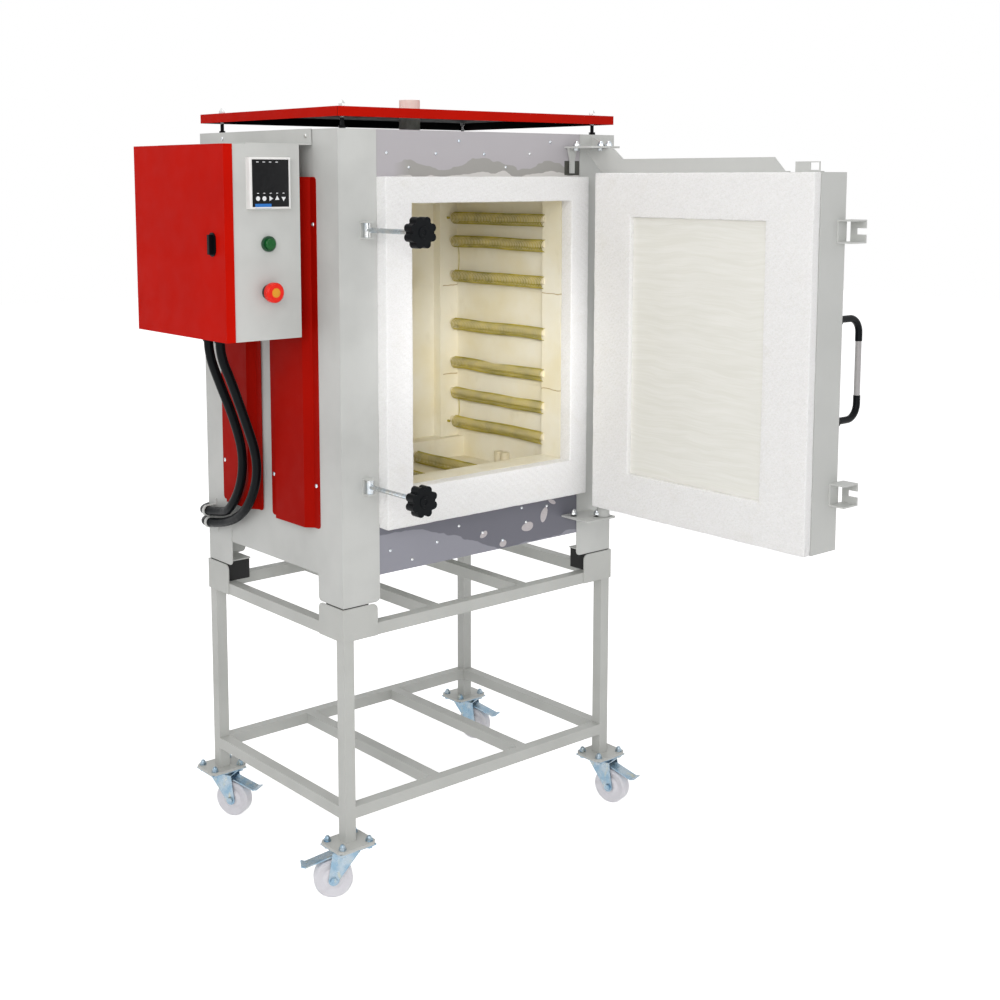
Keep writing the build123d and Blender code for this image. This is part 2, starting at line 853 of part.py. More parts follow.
# Corner sockets that hold the pads and the posts on the stand
with BuildPart() as corner_sockets:
    with BuildSketch(Plane.XY.offset(stand_top - tube)):
        for px, py, sx, sy, flange_x, flange_y in post_corners:
            x = px - sx * socket_t
            y = py - sy * socket_t
            angle_outline(x, y, sx, sy, socket_leg, socket_leg, socket_t)
    extrude(amount=tube + socket_lap)
    socket_ends = corner_sockets.edges().filter_by(lambda e: abs(e.length - socket_t) < 0.01)
    fillet(socket_ends.group_by(Axis.Z)[-1], radius=socket_r)
corner_sockets.part.label = "corner_sockets"
export_step(corner_sockets.part, "parts/corner_sockets.step")

# Caster top plates with their king pins
mount_low = caster_h - mount_t
race_top = mount_low - swivel_gap
fork_top = race_top - race_h
pin_head_top = fork_top - fork_t - swivel_gap
with BuildPart() as caster_mounts:
    with BuildSketch(Plane.XY.offset(mount_low)):
        with Locations(*swivels.values()):
            Rectangle(plate_w - 4, plate_d - 4)
    extrude(amount=mount_t)
    with BuildSketch(Plane.XY.offset(pin_head_top)):
        with Locations(*swivels.values()):
            Circle(pin_r)
    extrude(amount=mount_low - pin_head_top)
    with BuildSketch(Plane.XY.offset(pin_head_top - pin_head_h)):
        with Locations(*swivels.values()):
            Circle(pin_head_r)
    extrude(amount=pin_head_h)
caster_mounts.part.label = "caster_mounts"
export_step(caster_mounts.part, "parts/caster_mounts.step")

# Forks, wheels and brake pedals, each caster turned its own way
axle_z = wheel_d / 2
cheek_in = wheel_w / 2 + side_gap
cheek_out = cheek_in + fork_t
for name, (cx, cy) in swivels.items():
    heading = math.radians(headings[name])
    ahead = Vector(math.cos(heading), math.sin(heading), 0)
    across = Vector(math.sin(heading), -math.cos(heading), 0)
    centre = Vector(cx, cy, 0)
    axle = centre + ahead * trail + Vector(0, 0, axle_z)
    side = Plane(centre, x_dir=ahead, z_dir=across)

    with BuildPart() as fork:
        for y0 in (cheek_in, -cheek_out):
            with BuildSketch(side.offset(y0)):
                with BuildLine():
                    Polyline(
                        (-fork_back, fork_top),
                        (fork_front, fork_top),
                        (trail + boss_r, axle_z),
                        (trail - boss_r, axle_z),
                        close=True,
                    )
                make_face()
                with Locations((trail, axle_z)):
                    Circle(boss_r)
            extrude(amount=fork_t)
        with BuildSketch(side.offset(-cheek_out)):
            with Locations(((fork_front - fork_back) / 2, fork_top - fork_t / 2)):
                Rectangle(fork_front + fork_back, fork_t)
        extrude(amount=2 * cheek_out)
        with BuildSketch(side.offset(-cheek_out - axle_head_h)):
            with Locations((trail, axle_z)):
                Circle(axle_r)
        extrude(amount=2 * (cheek_out + axle_head_h))
        for y0 in (cheek_out, -cheek_out - axle_head_h):
            with BuildSketch(side.offset(y0)):
                with Locations((trail, axle_z)):
                    RegularPolygon(nut_af / 2, 6, major_radius=False)
            extrude(amount=axle_head_h)
        with BuildSketch(side.offset(-cheek_out)):
            with Locations((pedal_x, pedal_z)):
                Circle(pedal_pin_r)
        extrude(amount=2 * cheek_out)
        with BuildSketch(Plane.XY.offset(fork_top)):
            with Locations((cx, cy)):
                Circle(race_r)
        extrude(amount=race_h)
        with Locations((cx, cy, fork_top)):
            Cylinder(pin_r + run_gap, 4 * race_h, mode=Mode.SUBTRACT)
    fork.part.label = "fork_" + name
    export_step(fork.part, "parts/fork_" + name + ".step")

    with BuildPart() as wheel:
        with BuildSketch(Plane(axle, x_dir=across, z_dir=ahead * -1)):
            half = wheel_w / 2
            with BuildLine():
                Polyline(
                    (-half, axle_r + run_gap),
                    (-half, hub_r),
                    (-half + wheel_dish, hub_r + 2 * wheel_dish),
                    (-half, wheel_d / 2 - wheel_dish),
                    (-half + wheel_dish, wheel_d / 2),
                    (half - wheel_dish, wheel_d / 2),
                    (half, wheel_d / 2 - wheel_dish),
                    (half - wheel_dish, hub_r + 2 * wheel_dish),
                    (half, hub_r),
                    (half, axle_r + run_gap),
                    close=True,
                )
            make_face()
        revolve(axis=Axis(axle, across), revolution_arc=360)
    wheel.part.label = "wheel_" + name
    export_step(wheel.part, "parts/wheel_" + name + ".step")

    with BuildPart() as pedal:
        with BuildSketch(side.offset(-pedal_w / 2)):
            with BuildLine():
                Polyline(
                    (pedal_x, pedal_z + pedal_eye_r),
                    (pedal_toe, pedal_toe_z + pedal_t),
                    (pedal_toe + pedal_lip, pedal_toe_z + 2 * pedal_t),
                    (pedal_toe + pedal_lip + 1, pedal_toe_z + pedal_t),
                    (pedal_toe, pedal_toe_z),
                    (pedal_x, pedal_z + pedal_eye_r - pedal_t),
                    close=True,
                )
            make_face()
            with Locations((pedal_x, pedal_z)):
                Circle(pedal_eye_r)
                Circle(pedal_pin_r + run_gap, mode=Mode.SUBTRACT)
        extrude(amount=pedal_w)
    pedal.part.label = "pedal_" + name
    export_step(pedal.part, "parts/pedal_" + name + ".step")

# Door, standing open at a right angle to the front
hx = left + hinge_x
hy = front + hinge_y
felt_x = hx + ring_out + door_gap + hinge_y
case_x = felt_x + felt_t
door_x = case_x + case_d
heel_y = hy + door_heel
free_y = hy - door_free
felt_y0 = free_y + felt_free
felt_y1 = heel_y - felt_heel
felt_z0 = door_low + felt_low
felt_z1 = door_high - felt_top
with BuildPart() as door_fibre_frame:
    g = brick_joint
    block(felt_x, case_x, free_y, heel_y, felt_z1, door_high)
    block(felt_x, case_x, free_y, heel_y, door_low, felt_z0)
    block(felt_x, case_x, free_y, felt_y0, felt_z0 + g, felt_z1 - g)
    block(felt_x, case_x, felt_y1, heel_y, felt_z0 + g, felt_z1 - g)
door_fibre_frame.part.label = "door_fibre_frame"
export_step(door_fibre_frame.part, "parts/door_fibre_frame.step")

board_x = felt_x + board_sink
with BuildPart() as door_board:
    block(board_x, board_x + board_t, felt_y0, felt_y1, felt_z0, felt_z1)
door_board.part.label = "door_board"
export_step(door_board.part, "parts/door_board.step")

with BuildPart() as door_casing:
    block(case_x, door_x, free_y, heel_y, door_low, door_high)
    y0 = free_y + case_t
    y1 = heel_y - case_t
    z0 = door_low + case_t
    z1 = door_high - case_t
    block(case_x + case_t, door_x - case_t, y0, y1, z0, z1, Mode.SUBTRACT)
    y0 = free_y + case_lip
    y1 = heel_y - case_lip
    z0 = door_low + case_lip
    z1 = door_high - case_lip
    block(case_x - 1, case_x + 2 * case_t, y0, y1, z0, z1, Mode.SUBTRACT)
    outer = door_casing.edges().filter_by(Axis.Z).group_by(Axis.X)[-1]
    fillet(outer, radius=2 * case_t)
door_casing.part.label = "door_casing"
export_step(door_casing.part, "parts/door_casing.step")

with BuildPart() as door_filling:
    x0 = case_x + case_t
    x1 = door_x - case_t
    y0 = free_y + 2 * case_t
    y1 = heel_y - 2 * case_t
    block(x0, x1, y0, y1, door_low + case_t, door_high - case_t)
    block(x0 - 1, board_x + board_t, felt_y0, felt_y1, felt_z0, felt_z1, Mode.SUBTRACT)
door_filling.part.label = "door_filling"
export_step(door_filling.part, "parts/door_filling.step")

# Door side of the hinges: top leaf, bushes, strip along the top edge and its end tab
bush_top_z = arm_top_z - bush_gap
bush_low_z = arm_low_z + bush_gap
low_plate_z = door_low - leaf_low_t
with BuildPart() as door_hinge_leaves:
    leaf_x = hx - bush_r
    with BuildSketch(Plane.YZ.offset(leaf_x)):
        with BuildLine():
            Polyline(
                (hy - leaf_w, door_high),
                (heel_y, door_high),
                (hy + leaf_tip, bush_top_z - leaf_t),
                (hy + leaf_tip, bush_top_z),
                (hy - leaf_w / 2, bush_top_z),
                (hy - leaf_w, door_high + strip_h),
                close=True,
            )
        make_face()
    extrude(amount=leaf_t)
    with BuildSketch(Plane.XY.offset(bush_top_z - bush_h)):
        with Locations((hx, hy)):
            Circle(bush_r)
            with Locations((-bush_r / 2, 0)):
                Rectangle(bush_r, 2 * bush_r)
    extrude(amount=bush_h)
    with BuildSketch(Plane.XY.offset(bush_low_z)):
        with Locations((hx, hy)):
            Circle(bush_r)
    extrude(amount=low_plate_z - bush_low_z)
    x1 = hx + leaf_w / 2
    block(leaf_x, x1, hy - leaf_w, hy + bush_r, low_plate_z, door_low)
    with Locations((hx, hy, (bush_top_z + bush_low_z) / 2)):
        Cylinder(hinge_pin_r + run_gap, 2 * body_h, mode=Mode.SUBTRACT)
    strip_x = leaf_x
    strip_y = hy - leaf_w
    with BuildSketch(Plane.YZ.offset(strip_x)):
        with BuildLine():
            Polyline(
                (strip_y, door_high),
                (strip_y, door_high + strip_h),
                (heel_y - strip_len + strip_slant, door_high + strip_h),
                (heel_y - strip_len, door_high),
                close=True,
            )
        make_face()
    extrude(amount=strip_t)
    foot_y = heel_y - strip_len
    block(strip_x, strip_x + strip_foot, foot_y, strip_y, door_high, door_high + strip_t)
    tab_y = free_y + tab_len
    tab_z = door_high + tab_h
    block(strip_x, strip_x + strip_foot, free_y + 5, tab_y, door_high, tab_z)
    x0 = strip_x + strip_t
    block(x0, x0 + strip_foot, free_y, tab_y - strip_t, door_high + strip_t, tab_z, Mode.SUBTRACT)
    y0 = free_y + 5 + strip_t
    block(strip_x - 1, x0, y0, y0 + tab_h, door_high + 2 * strip_t, tab_z - strip_t, Mode.SUBTRACT)
door_hinge_leaves.part.label = "door_hinge_leaves"
export_step(door_hinge_leaves.part, "parts/door_hinge_leaves.step")

# Body side of the hinges: two plates off the right post with their pins, and the tongue
with BuildPart() as hinge_carriers:
    for z, pin_z0, pin_z1 in (
        (arm_top_z, bush_top_z - bush_h - pin_out, arm_top_z + arm_t + pin_out),
        (arm_low_z - arm_t, arm_low_z - arm_t - pin_out, door_low - 1),
    ):
        with BuildSketch(Plane.XY.offset(z)):
            with Locations((hx + (arm_r - arm_l) / 2, front - arm_reach / 2)):
                Rectangle(arm_l + arm_r, arm_reach)
        extrude(amount=arm_t)
        arm_corners = hinge_carriers.edges().filter_by(Axis.Z).group_by(Axis.Y)[0]
        fillet(arm_corners.filter_by(lambda e: abs(e.center().Z - z) < arm_t), radius=arm_t)
        with BuildSketch(Plane.XY.offset(pin_z0)):
            with Locations((hx, hy)):
                Circle(hinge_pin_r)
        extrude(amount=pin_z1 - pin_z0)
    gusset = ((front, arm_top_z + arm_t, 1), (front, arm_low_z - arm_t, -1))
    for y, z, up in gusset:
        with BuildSketch(Plane.YZ.offset(hx + arm_r - arm_t)):
            with BuildLine():
                Polyline((y, z), (y - gusset_d, z), (y, z + up * gusset_h), close=True)
            make_face()
        extrude(amount=arm_t)
    with BuildSketch(Plane.XZ.offset(-(front - tongue_t))):
        with BuildLine():
            x = hx - arm_l + tongue_w / 2 + tongue_in
            Polyline(
                (x - tongue_w / 2, arm_top_z),
                (x + tongue_w / 2, arm_top_z),
                (x + tongue_tip / 2, arm_top_z - tongue_h / 2),
                (x + tongue_tip / 2, arm_top_z - tongue_h),
                (x - tongue_tip / 2, arm_top_z - tongue_h),
                (x - tongue_tip / 2, arm_top_z - tongue_h / 2),
                close=True,
            )
        make_face()
    extrude(amount=-tongue_t)
hinge_carriers.part.label = "hinge_carriers"
export_step(hinge_carriers.part, "parts/hinge_carriers.step")

# Lock brackets on the free edge of the door, each slotted for its swing bolt
lock_x = door_x + lock_out
swing_door_y = hy + left + swing_x - hx
with BuildPart() as lock_brackets:
    for z in swing_z.values():
        x0 = door_x - lock_back
        y0 = free_y - lock_reach
        block(x0, lock_x, y0, free_y, z - lock_h / 2, z + lock_h / 2)
        inner = lock_h / 2 - lock_t
        block(x0 - 1, lock_x - lock_t, y0 - 1, free_y + 1, z - inner, z + inner, Mode.SUBTRACT)
        half = swing_r + slot_clear
        x1 = lock_x + 1
        block(lock_x - 2 * lock_t, x1, y0 - 1, y0 + slot_deep, z - half, z + half, Mode.SUBTRACT)
        block(x0, door_x - case_t, free_y - lock_t, free_y, z - inner, z + inner)
lock_brackets.part.label = "lock_brackets"
export_step(lock_brackets.part, "parts/lock_brackets.step")

# Swing bolts on the left post: lugs, rods with their eyes, star knobs
sx0 = left + swing_x
sy0 = front - eye_y
with BuildPart() as clamp_lugs:
    for z in swing_z.values():
        reach = eye_h / 2 + seat_gap
        x0 = sx0 - lug_w / 2
        x1 = sx0 + lug_w / 2
        block(x0, x1, front - lug_t, front, z - reach - lug_t, z + reach + lug_t)
        for z0 in (z - reach - lug_t, z + reach):
            block(x0, x1, front - lug_d - lug_t, front, z0, z0 + lug_t)
        with Locations((sx0, sy0, z)):
            Cylinder(eye_pin_r, 2 * (reach + lug_t))
clamp_lugs.part.label = "clamp_lugs"
export_step(clamp_lugs.part, "parts/clamp_lugs.step")

for name, z in swing_z.items():
    with BuildPart() as swing_rod:
        with Locations((sx0, sy0, z)):
            Cylinder(eye_r, eye_h)
        rod_y([(sx0, z)], swing_r, sy0 - swing_len, sy0 - eye_pin_r)
        with Locations((sx0, sy0, z)):
            Cylinder(eye_pin_r + run_gap, 2 * eye_h, mode=Mode.SUBTRACT)
    swing_rod.part.label = "clamp_rod_" + name
    export_step(swing_rod.part, "parts/clamp_rod_" + name + ".step")

    with BuildPart() as star_knob:
        knob_y = sy0 - knob_at
        with BuildSketch(Plane.XZ.offset(-knob_y)):
            with Locations((sx0, z)):
                Circle(knob_r - lobe_r + 2)
                with PolarLocations(knob_r - lobe_r, lobe_n, start_angle=22.5):
                    Circle(lobe_r)
        extrude(amount=knob_h)
        with BuildSketch(Plane.XZ.offset(-knob_y)):
            with Locations((sx0, z)):
                Circle(knob_hub_r)
        extrude(amount=-knob_hub_h)
        rim = sy0 - swing_len - 1
        rod_y([(sx0, z)], swing_r + run_gap, rim, knob_y + 2 * knob_hub_h, Mode.SUBTRACT)
    star_knob.part.label = "knob_" + name
    export_step(star_knob.part, "parts/knob_" + name + ".step")

# Door handle: two moulded elbows and the grip between them
grip_x = door_x + grip_off
grip_y = free_y + grip_in
with BuildPart() as handle_elbows:
    for up in (-1, 1):
        z_end = grip_z + up * grip_len / 2
        z_foot = z_end + up * elbow_h
        with BuildLine():
            FilletPolyline(
                (door_x, grip_y, z_foot),
                (grip_x, grip_y, z_foot),
                (grip_x, grip_y, z_end),
                radius=elbow_bend,
            )
        with BuildSketch(Plane((door_x, grip_y, z_foot), z_dir=(1, 0, 0))):
            RegularPolygon(elbow_d / 2, rod_sides)
        sweep(clean=False)
        with BuildSketch(Plane((door_x, grip_y, z_foot), z_dir=(1, 0, 0))):
            Circle(elbow_foot_r)
        extrude(amount=elbow_foot_h)
handle_elbows.part.label = "handle_elbows"
export_step(handle_elbows.part, "parts/handle_elbows.step")

with BuildPart() as handle_grip:
    with Locations((grip_x, grip_y, grip_z)):
        Cylinder(grip_d / 2, grip_len)
handle_grip.part.label = "handle_grip"
export_step(handle_grip.part, "parts/handle_grip.step")

# Control box hung beside the kiln, open to the left behind its tray door
box_r = left - box_gap
box_l = box_r - box_w
box_f = front + box_front
box_b = box_f + box_len
switch_x = box_r - panel_mid
pin_x = box_l - barrel_r
pin_y = box_b + pin_off
barrel_at = (box_low + barrel_h, box_high - 2 * barrel_h)
with BuildPart() as enclosure:
    block(box_l, box_r, box_f, box_b, box_low, box_high)
    t = box_t
    block(box_l - 1, box_r - t, box_f + t, box_b - t, box_low + t, box_high - t, Mode.SUBTRACT)
    half = meter_body / 2 + seat_gap
    x0 = switch_x - half
    x1 = switch_x + half
    block(x0, x1, box_f - 1, box_f + 3, meter_z - half, meter_z + half, Mode.SUBTRACT)
    holes = [(switch_x, button_z), (switch_x, stop_z)]
    rod_y(holes, button_r + seat_gap, box_f - 1, box_f + 3, Mode.SUBTRACT)
    for z in barrel_at:
        block(pin_x, box_l + lid_d, box_b, box_b + t, z, z + barrel_h / 2)
        with Locations((pin_x, pin_y, z + barrel_h / 4)):
            Cylinder(barrel_r, barrel_h / 2)
        with Locations((pin_x, pin_y, z + barrel_h / 2)):
            Cylinder(barrel_r / 2, barrel_h)
enclosure.part.label = "enclosure"
export_step(enclosure.part, "parts/enclosure.step")

with BuildPart() as box_door:
    tray_l = box_l - lid_d
    tray_r = box_l - lid_gap
    tray_f = box_f - 2 * t
    block(tray_l, tray_r, tray_f, box_b, box_low, box_high)
    block(tray_l + t, tray_r + 1, tray_f + t, box_b - t, box_low + t, box_high - t, Mode.SUBTRACT)
    latch_at = (tray_f + latch_y, latch_z)
    with Locations(Plane((tray_l, *latch_at), z_dir=(1, 0, 0))):
        Cylinder(latch_r + run_gap, 4 * t, mode=Mode.SUBTRACT)
    for z in barrel_at:
        z0 = z + barrel_h / 2 + lid_gap
        block(pin_x - 2 * barrel_r, pin_x, box_b, box_b + t, z0, z + barrel_h)
        with Locations((pin_x, pin_y, (z0 + z + barrel_h) / 2)):
            Cylinder(barrel_r, z + barrel_h - z0)
        with Locations((pin_x, pin_y, z + barrel_h / 2)):
            Cylinder(barrel_r / 2 + run_gap, 2 * barrel_h, mode=Mode.SUBTRACT)
box_door.part.label = "box_door"
export_step(box_door.part, "parts/box_door.step")

with BuildPart() as box_latch:
    face = Plane((tray_l, *latch_at), x_dir=(0, 1, 0), z_dir=(-1, 0, 0))
    with BuildSketch(face):
        SlotOverall(latch_h, latch_w, rotation=90)
    extrude(amount=latch_out - latch_wing)
    with BuildSketch(face.offset(latch_out - latch_wing)):
        Rectangle(latch_wing, latch_h - 8)
    extrude(amount=latch_wing)
    with BuildSketch(face):
        Circle(latch_r)
    extrude(amount=-3 * cam_t)
    with BuildSketch(face.offset(-2 * cam_t)):
        with Locations((0, cam_len / 2 - cam_w / 2)):
            Rectangle(cam_w, cam_len)
    extrude(amount=-cam_t)
box_latch.part.label = "box_latch"
export_step(box_latch.part, "parts/box_latch.step")

# Temperature controller with its case behind the panel, and the collars of both switches
with BuildPart() as switch_bezels:
    y1 = box_f - meter_out
    x0 = switch_x - meter_w / 2
    block(x0, x0 + meter_w, y1, box_f, meter_z - meter_h / 2, meter_z + meter_h / 2)
    chamfer(switch_bezels.edges().group_by(Axis.Y)[0], length=2)
    x0 = switch_x - meter_body / 2
    z0 = meter_z - meter_body / 2
    block(x0, x0 + meter_body, box_f, box_f + meter_body_d, z0, z0 + meter_body)
    x0 = switch_x - face_w / 2
    z0 = meter_z - face_h / 2
    y0 = y1 + face_sink + face_t
    block(x0, x0 + face_w, y1 - 1, y0, z0, z0 + face_h, Mode.SUBTRACT)
    rod_y(holes, collar_r, box_f - collar_h, box_f)
    rod_y(holes, button_r + seat_gap, box_f - collar_h - 1, box_f + 1, Mode.SUBTRACT)
switch_bezels.part.label = "switch_bezels"
export_step(switch_bezels.part, "parts/switch_bezels.step")

with BuildPart() as controller_face:
    block(x0, x0 + face_w, y0 - face_t, y0, z0, z0 + face_h)
controller_face.part.label = "controller_face"
export_step(controller_face.part, "parts/controller_face.step")

with BuildPart() as green_button:
    rod_y([holes[0]], button_r, box_f - button_out, box_f + switch_in)
    chamfer(green_button.edges().group_by(Axis.Y)[0], length=1.5)
green_button.part.label = "green_button"
export_step(green_button.part, "parts/green_button.step")

with BuildPart() as estop_cap:
    rod_y([holes[1]], stop_r, box_f - stop_out, box_f - stop_out + stop_cap_h)
    chamfer(estop_cap.edges().group_by(Axis.Y)[0], length=3)
    rod_y([holes[1]], stop_neck_r, box_f - stop_out + stop_cap_h, box_f + switch_in)
estop_cap.part.label = "estop_cap"
export_step(estop_cap.part, "parts/estop_cap.step")

# Control gear inside the box: contact blocks, relays on a rail and a terminal strip
plate_x = box_r - box_t - plate_gap
with BuildPart() as control_gear:
    half = switch_body / 2
    for x, z in holes:
        y0 = box_f + switch_in + stop_travel + 1
        block(x - half, x + half, y0, y0 + switch_body_d, z - half, z + half)
        block(x - half, x + half, box_f + box_t, y0, z + half - 4, z + half)
        block(x - half, x + half, box_f + box_t, y0, z - half, z - half + 4)
    for i in range(relay_n):
        y0 = box_f + relay_y + i * relay_step
        x1 = plate_x - plate_t - rail_h
        block(x1 - relay_d, x1, y0, y0 + relay_w, relay_z, relay_z + relay_h)
        mid_h = relay_z + relay_h / 2
        block(x1 - relay_d - 8, x1, y0 + 4, y0 + relay_w - 4, mid_h - 18, mid_h + 18)
    y0 = box_f + relay_y
    y1 = y0 + strip_n * strip_p
    block(plate_x - plate_t - 30, plate_x - plate_t, y0, y1, strip_z, strip_z + 36)
    for i in range(strip_n):
        y = y0 + strip_p * (i + 0.5)
        x0 = plate_x - plate_t - 31
        block(x0, x0 + 12, y - 2, y + 2, strip_z + 4, strip_z + 32, Mode.SUBTRACT)
control_gear.part.label = "control_gear"
export_step(control_gear.part, "parts/control_gear.step")

# Conduits: routes from the glands under the box round the back corner to the rear cover
cover_x = left + cover_in
gland_x = cover_x - gland_h
routes = {}
for key, points in conduit_points.items():
    routes[key] = [(left + x, front + y, z) for x, y, z in points]


def route_radii(points):
    """Give each corner of a route the largest bend that its two runs allow."""
    radii = []
    for a, b, c in zip(points, points[1:], points[2:]):
        u = Vector(*b) - Vector(*a)
        v = Vector(*c) - Vector(*b)
        turn = math.radians(u.get_angle(v))
        radii.append(0.45 * min(u.length, v.length) / math.tan(turn / 2))
    return radii


with BuildPart() as conduits:
    for key, points in routes.items():
        radii = route_radii(points)
        print("conduit", key, "bend radii", [round(r) for r in radii])
        with BuildLine() as route:
            FilletPolyline(*points, radius=radii)
        length = route.wires()[0].length
        start = Vector(*points[0])
        with BuildSketch(Plane(start, z_dir=Vector(*points[1]) - start)) as section:
            RegularPolygon(conduit_r, rod_sides)
        before = sum(s.volume for s in conduits.solids())
        sweep(clean=False)
        volume = conduits.part.volume - before
        print("conduit", key, "volume ratio", round(volume / (length * section.sketch.area), 4))
        with Locations(start + Vector(0, 0, gland_h / 2)):
            Cylinder(gland_r, gland_h)
        end = Vector(*points[-1])
        with Locations(Plane(end + Vector(gland_h / 2, 0, 0), z_dir=(1, 0, 0))):
            Cylinder(gland_r, gland_h)
    with Locations((left + inlet_x, back - post_t + cover_d / 2, cover_low - gland_h / 2)):
        Cylinder(gland_r, gland_h)
        Cylinder(gland_r - 4, gland_h, mode=Mode.SUBTRACT)
conduits.part.label = "conduits"
export_step(conduits.part, "parts/conduits.step")

# Rear terminal cover with louvres top and bottom
with BuildPart() as rear_cover:
    y0 = back - post_t
    y1 = y0 + cover_d
    x0 = cover_x
    x1 = right - cover_in
    z0 = cover_low
    z1 = cover_high
    block(x0, x1, y0, y1, z0, z1)
    t = cover_t
    block(x0 + t, x1 - t, y0 - 1, y1 - t, z0 + t, z1 - t, Mode.SUBTRACT)
    r = cover_rim
    block(x0 - r, x0, y0, y0 + t, z0, z1)
    block(x1, x1 + r, y0, y0 + t, z0, z1)
    for z_mid in (z0 + 90, z1 - 90):
        for i in range(louvre_n):
            z = z_mid + (i - (louvre_n - 1) / 2) * louvre_step
            for x in (mid_x - 1.2 * louvre_w, mid_x + 1.2 * louvre_w):
                half = louvre_w / 2
                block(x - half, x + half, y1 - 2 * t, y1 + 1, z, z + louvre_h, Mode.SUBTRACT)
    with Locations((left + inlet_x, back - post_t + cover_d / 2, z0)):
        Cylinder(gland_r - 3, 4 * t, mode=Mode.SUBTRACT)
rear_cover.part.label = "rear_cover"
export_step(rear_cover.part, "parts/rear_cover.step")

# Brackets: the bar that carries the box, its lower spacer, the gear plate and conduit clips
with BuildPart() as brackets:
    z1 = box_high + bar_h
    y0 = front + bar_front
    y1 = back - bar_back
    block(left - bar_t, left, y0, y1, box_high, z1)
    block(box_l + 36, left - bar_t, y0, box_b, box_high, box_high + bar_t)
    for y in (y0 + bar_bolt, box_b - bar_bolt):
        with Locations(Plane((left, y, z1 - 14), z_dir=(1, 0, 0))):
            Cylinder(bar_washer_r, post_t, align=(Align.CENTER, Align.CENTER, Align.MIN))
    y0 = front + spacer_y
    block(box_r, left + post_t, y0, y0 + spacer_w, spacer_z, spacer_z + bar_t)
    block(box_r, box_r + bar_t, y0, y0 + spacer_w, spacer_z, spacer_z + standoff_h)
    x1 = left + post_t
    block(x1 - bar_t, x1, y0, y0 + spacer_w, spacer_z, spacer_z + standoff_h)
    block(plate_x - plate_t, plate_x, box_f + 85, box_b - 20, box_low + 15, box_high - 15)
    for y in (box_f + 100, box_b - 40):
        for z in (box_low + 30, box_high - 30):
            with Locations(Plane((plate_x, y, z), z_dir=(1, 0, 0))):
                Cylinder(5, plate_gap, align=(Align.CENTER, Align.CENTER, Align.MIN))
    x1 = plate_x - plate_t
    block(x1 - rail_h, x1, box_f + 90, box_b - 30, relay_z + 20, relay_z + 20 + rail_w)
    for key, up in (("front", -1), ("rear", 1)):
        a = Vector(*routes[key][-3])
        b = Vector(*routes[key][-2])
        p = (a + b) * 0.5
        bore = conduit_r + clip_gap
        with BuildSketch(Plane(p, z_dir=b - a)):
            Circle(bore + clip_t)
            Circle(bore, mode=Mode.SUBTRACT)
        extrude(amount=clip_w / 2, both=True)
        y0 = p.Y - clip_w / 2
        z0 = p.Z + up * (bore + 0.2)
        block(p.X, left, y0, y0 + clip_w, z0, z0 + up * clip_t)
        block(left - clip_t, left, y0, y0 + clip_w, z0, z0 + up * clip_foot)
brackets.part.label = "brackets"
export_step(brackets.part, "parts/brackets.step")
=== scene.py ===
"""Front loading porcelain kiln on a wheeled stand, dressed for a studio picture.

Lengths in the classes are millimetres in the kiln's own frame: +Z up, the front towards -Y.
"""

import logging
import math
from dataclasses import dataclass
from enum import Enum

import bpy
import numpy as np
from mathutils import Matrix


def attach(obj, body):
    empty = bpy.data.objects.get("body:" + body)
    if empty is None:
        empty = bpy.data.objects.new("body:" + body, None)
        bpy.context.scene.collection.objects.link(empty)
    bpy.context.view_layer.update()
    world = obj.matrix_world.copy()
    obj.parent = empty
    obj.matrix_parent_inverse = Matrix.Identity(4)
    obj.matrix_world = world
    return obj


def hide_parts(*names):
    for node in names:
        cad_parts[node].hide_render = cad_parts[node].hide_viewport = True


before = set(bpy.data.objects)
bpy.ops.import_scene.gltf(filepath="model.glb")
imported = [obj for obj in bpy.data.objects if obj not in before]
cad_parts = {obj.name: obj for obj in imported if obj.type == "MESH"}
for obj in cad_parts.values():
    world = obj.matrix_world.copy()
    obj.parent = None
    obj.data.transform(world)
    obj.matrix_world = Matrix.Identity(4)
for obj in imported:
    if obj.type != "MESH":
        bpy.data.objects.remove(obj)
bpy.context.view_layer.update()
log = logging.getLogger("kiln")
MM = 0.001
Socket = bpy.types.NodeSocket
Point = tuple[float, ...]
Points = tuple[Point, ...]


# Surfaces


class Axis(Enum):
    """A direction of the kiln's frame, as a unit vector."""

    LEFT = (-1.0, 0.0, 0.0)
    RIGHT = (1.0, 0.0, 0.0)
    FRONT = (0.0, -1.0, 0.0)
    BACK = (0.0, 1.0, 0.0)
    DOWN = (0.0, 0.0, -1.0)
    UP = (0.0, 0.0, 1.0)


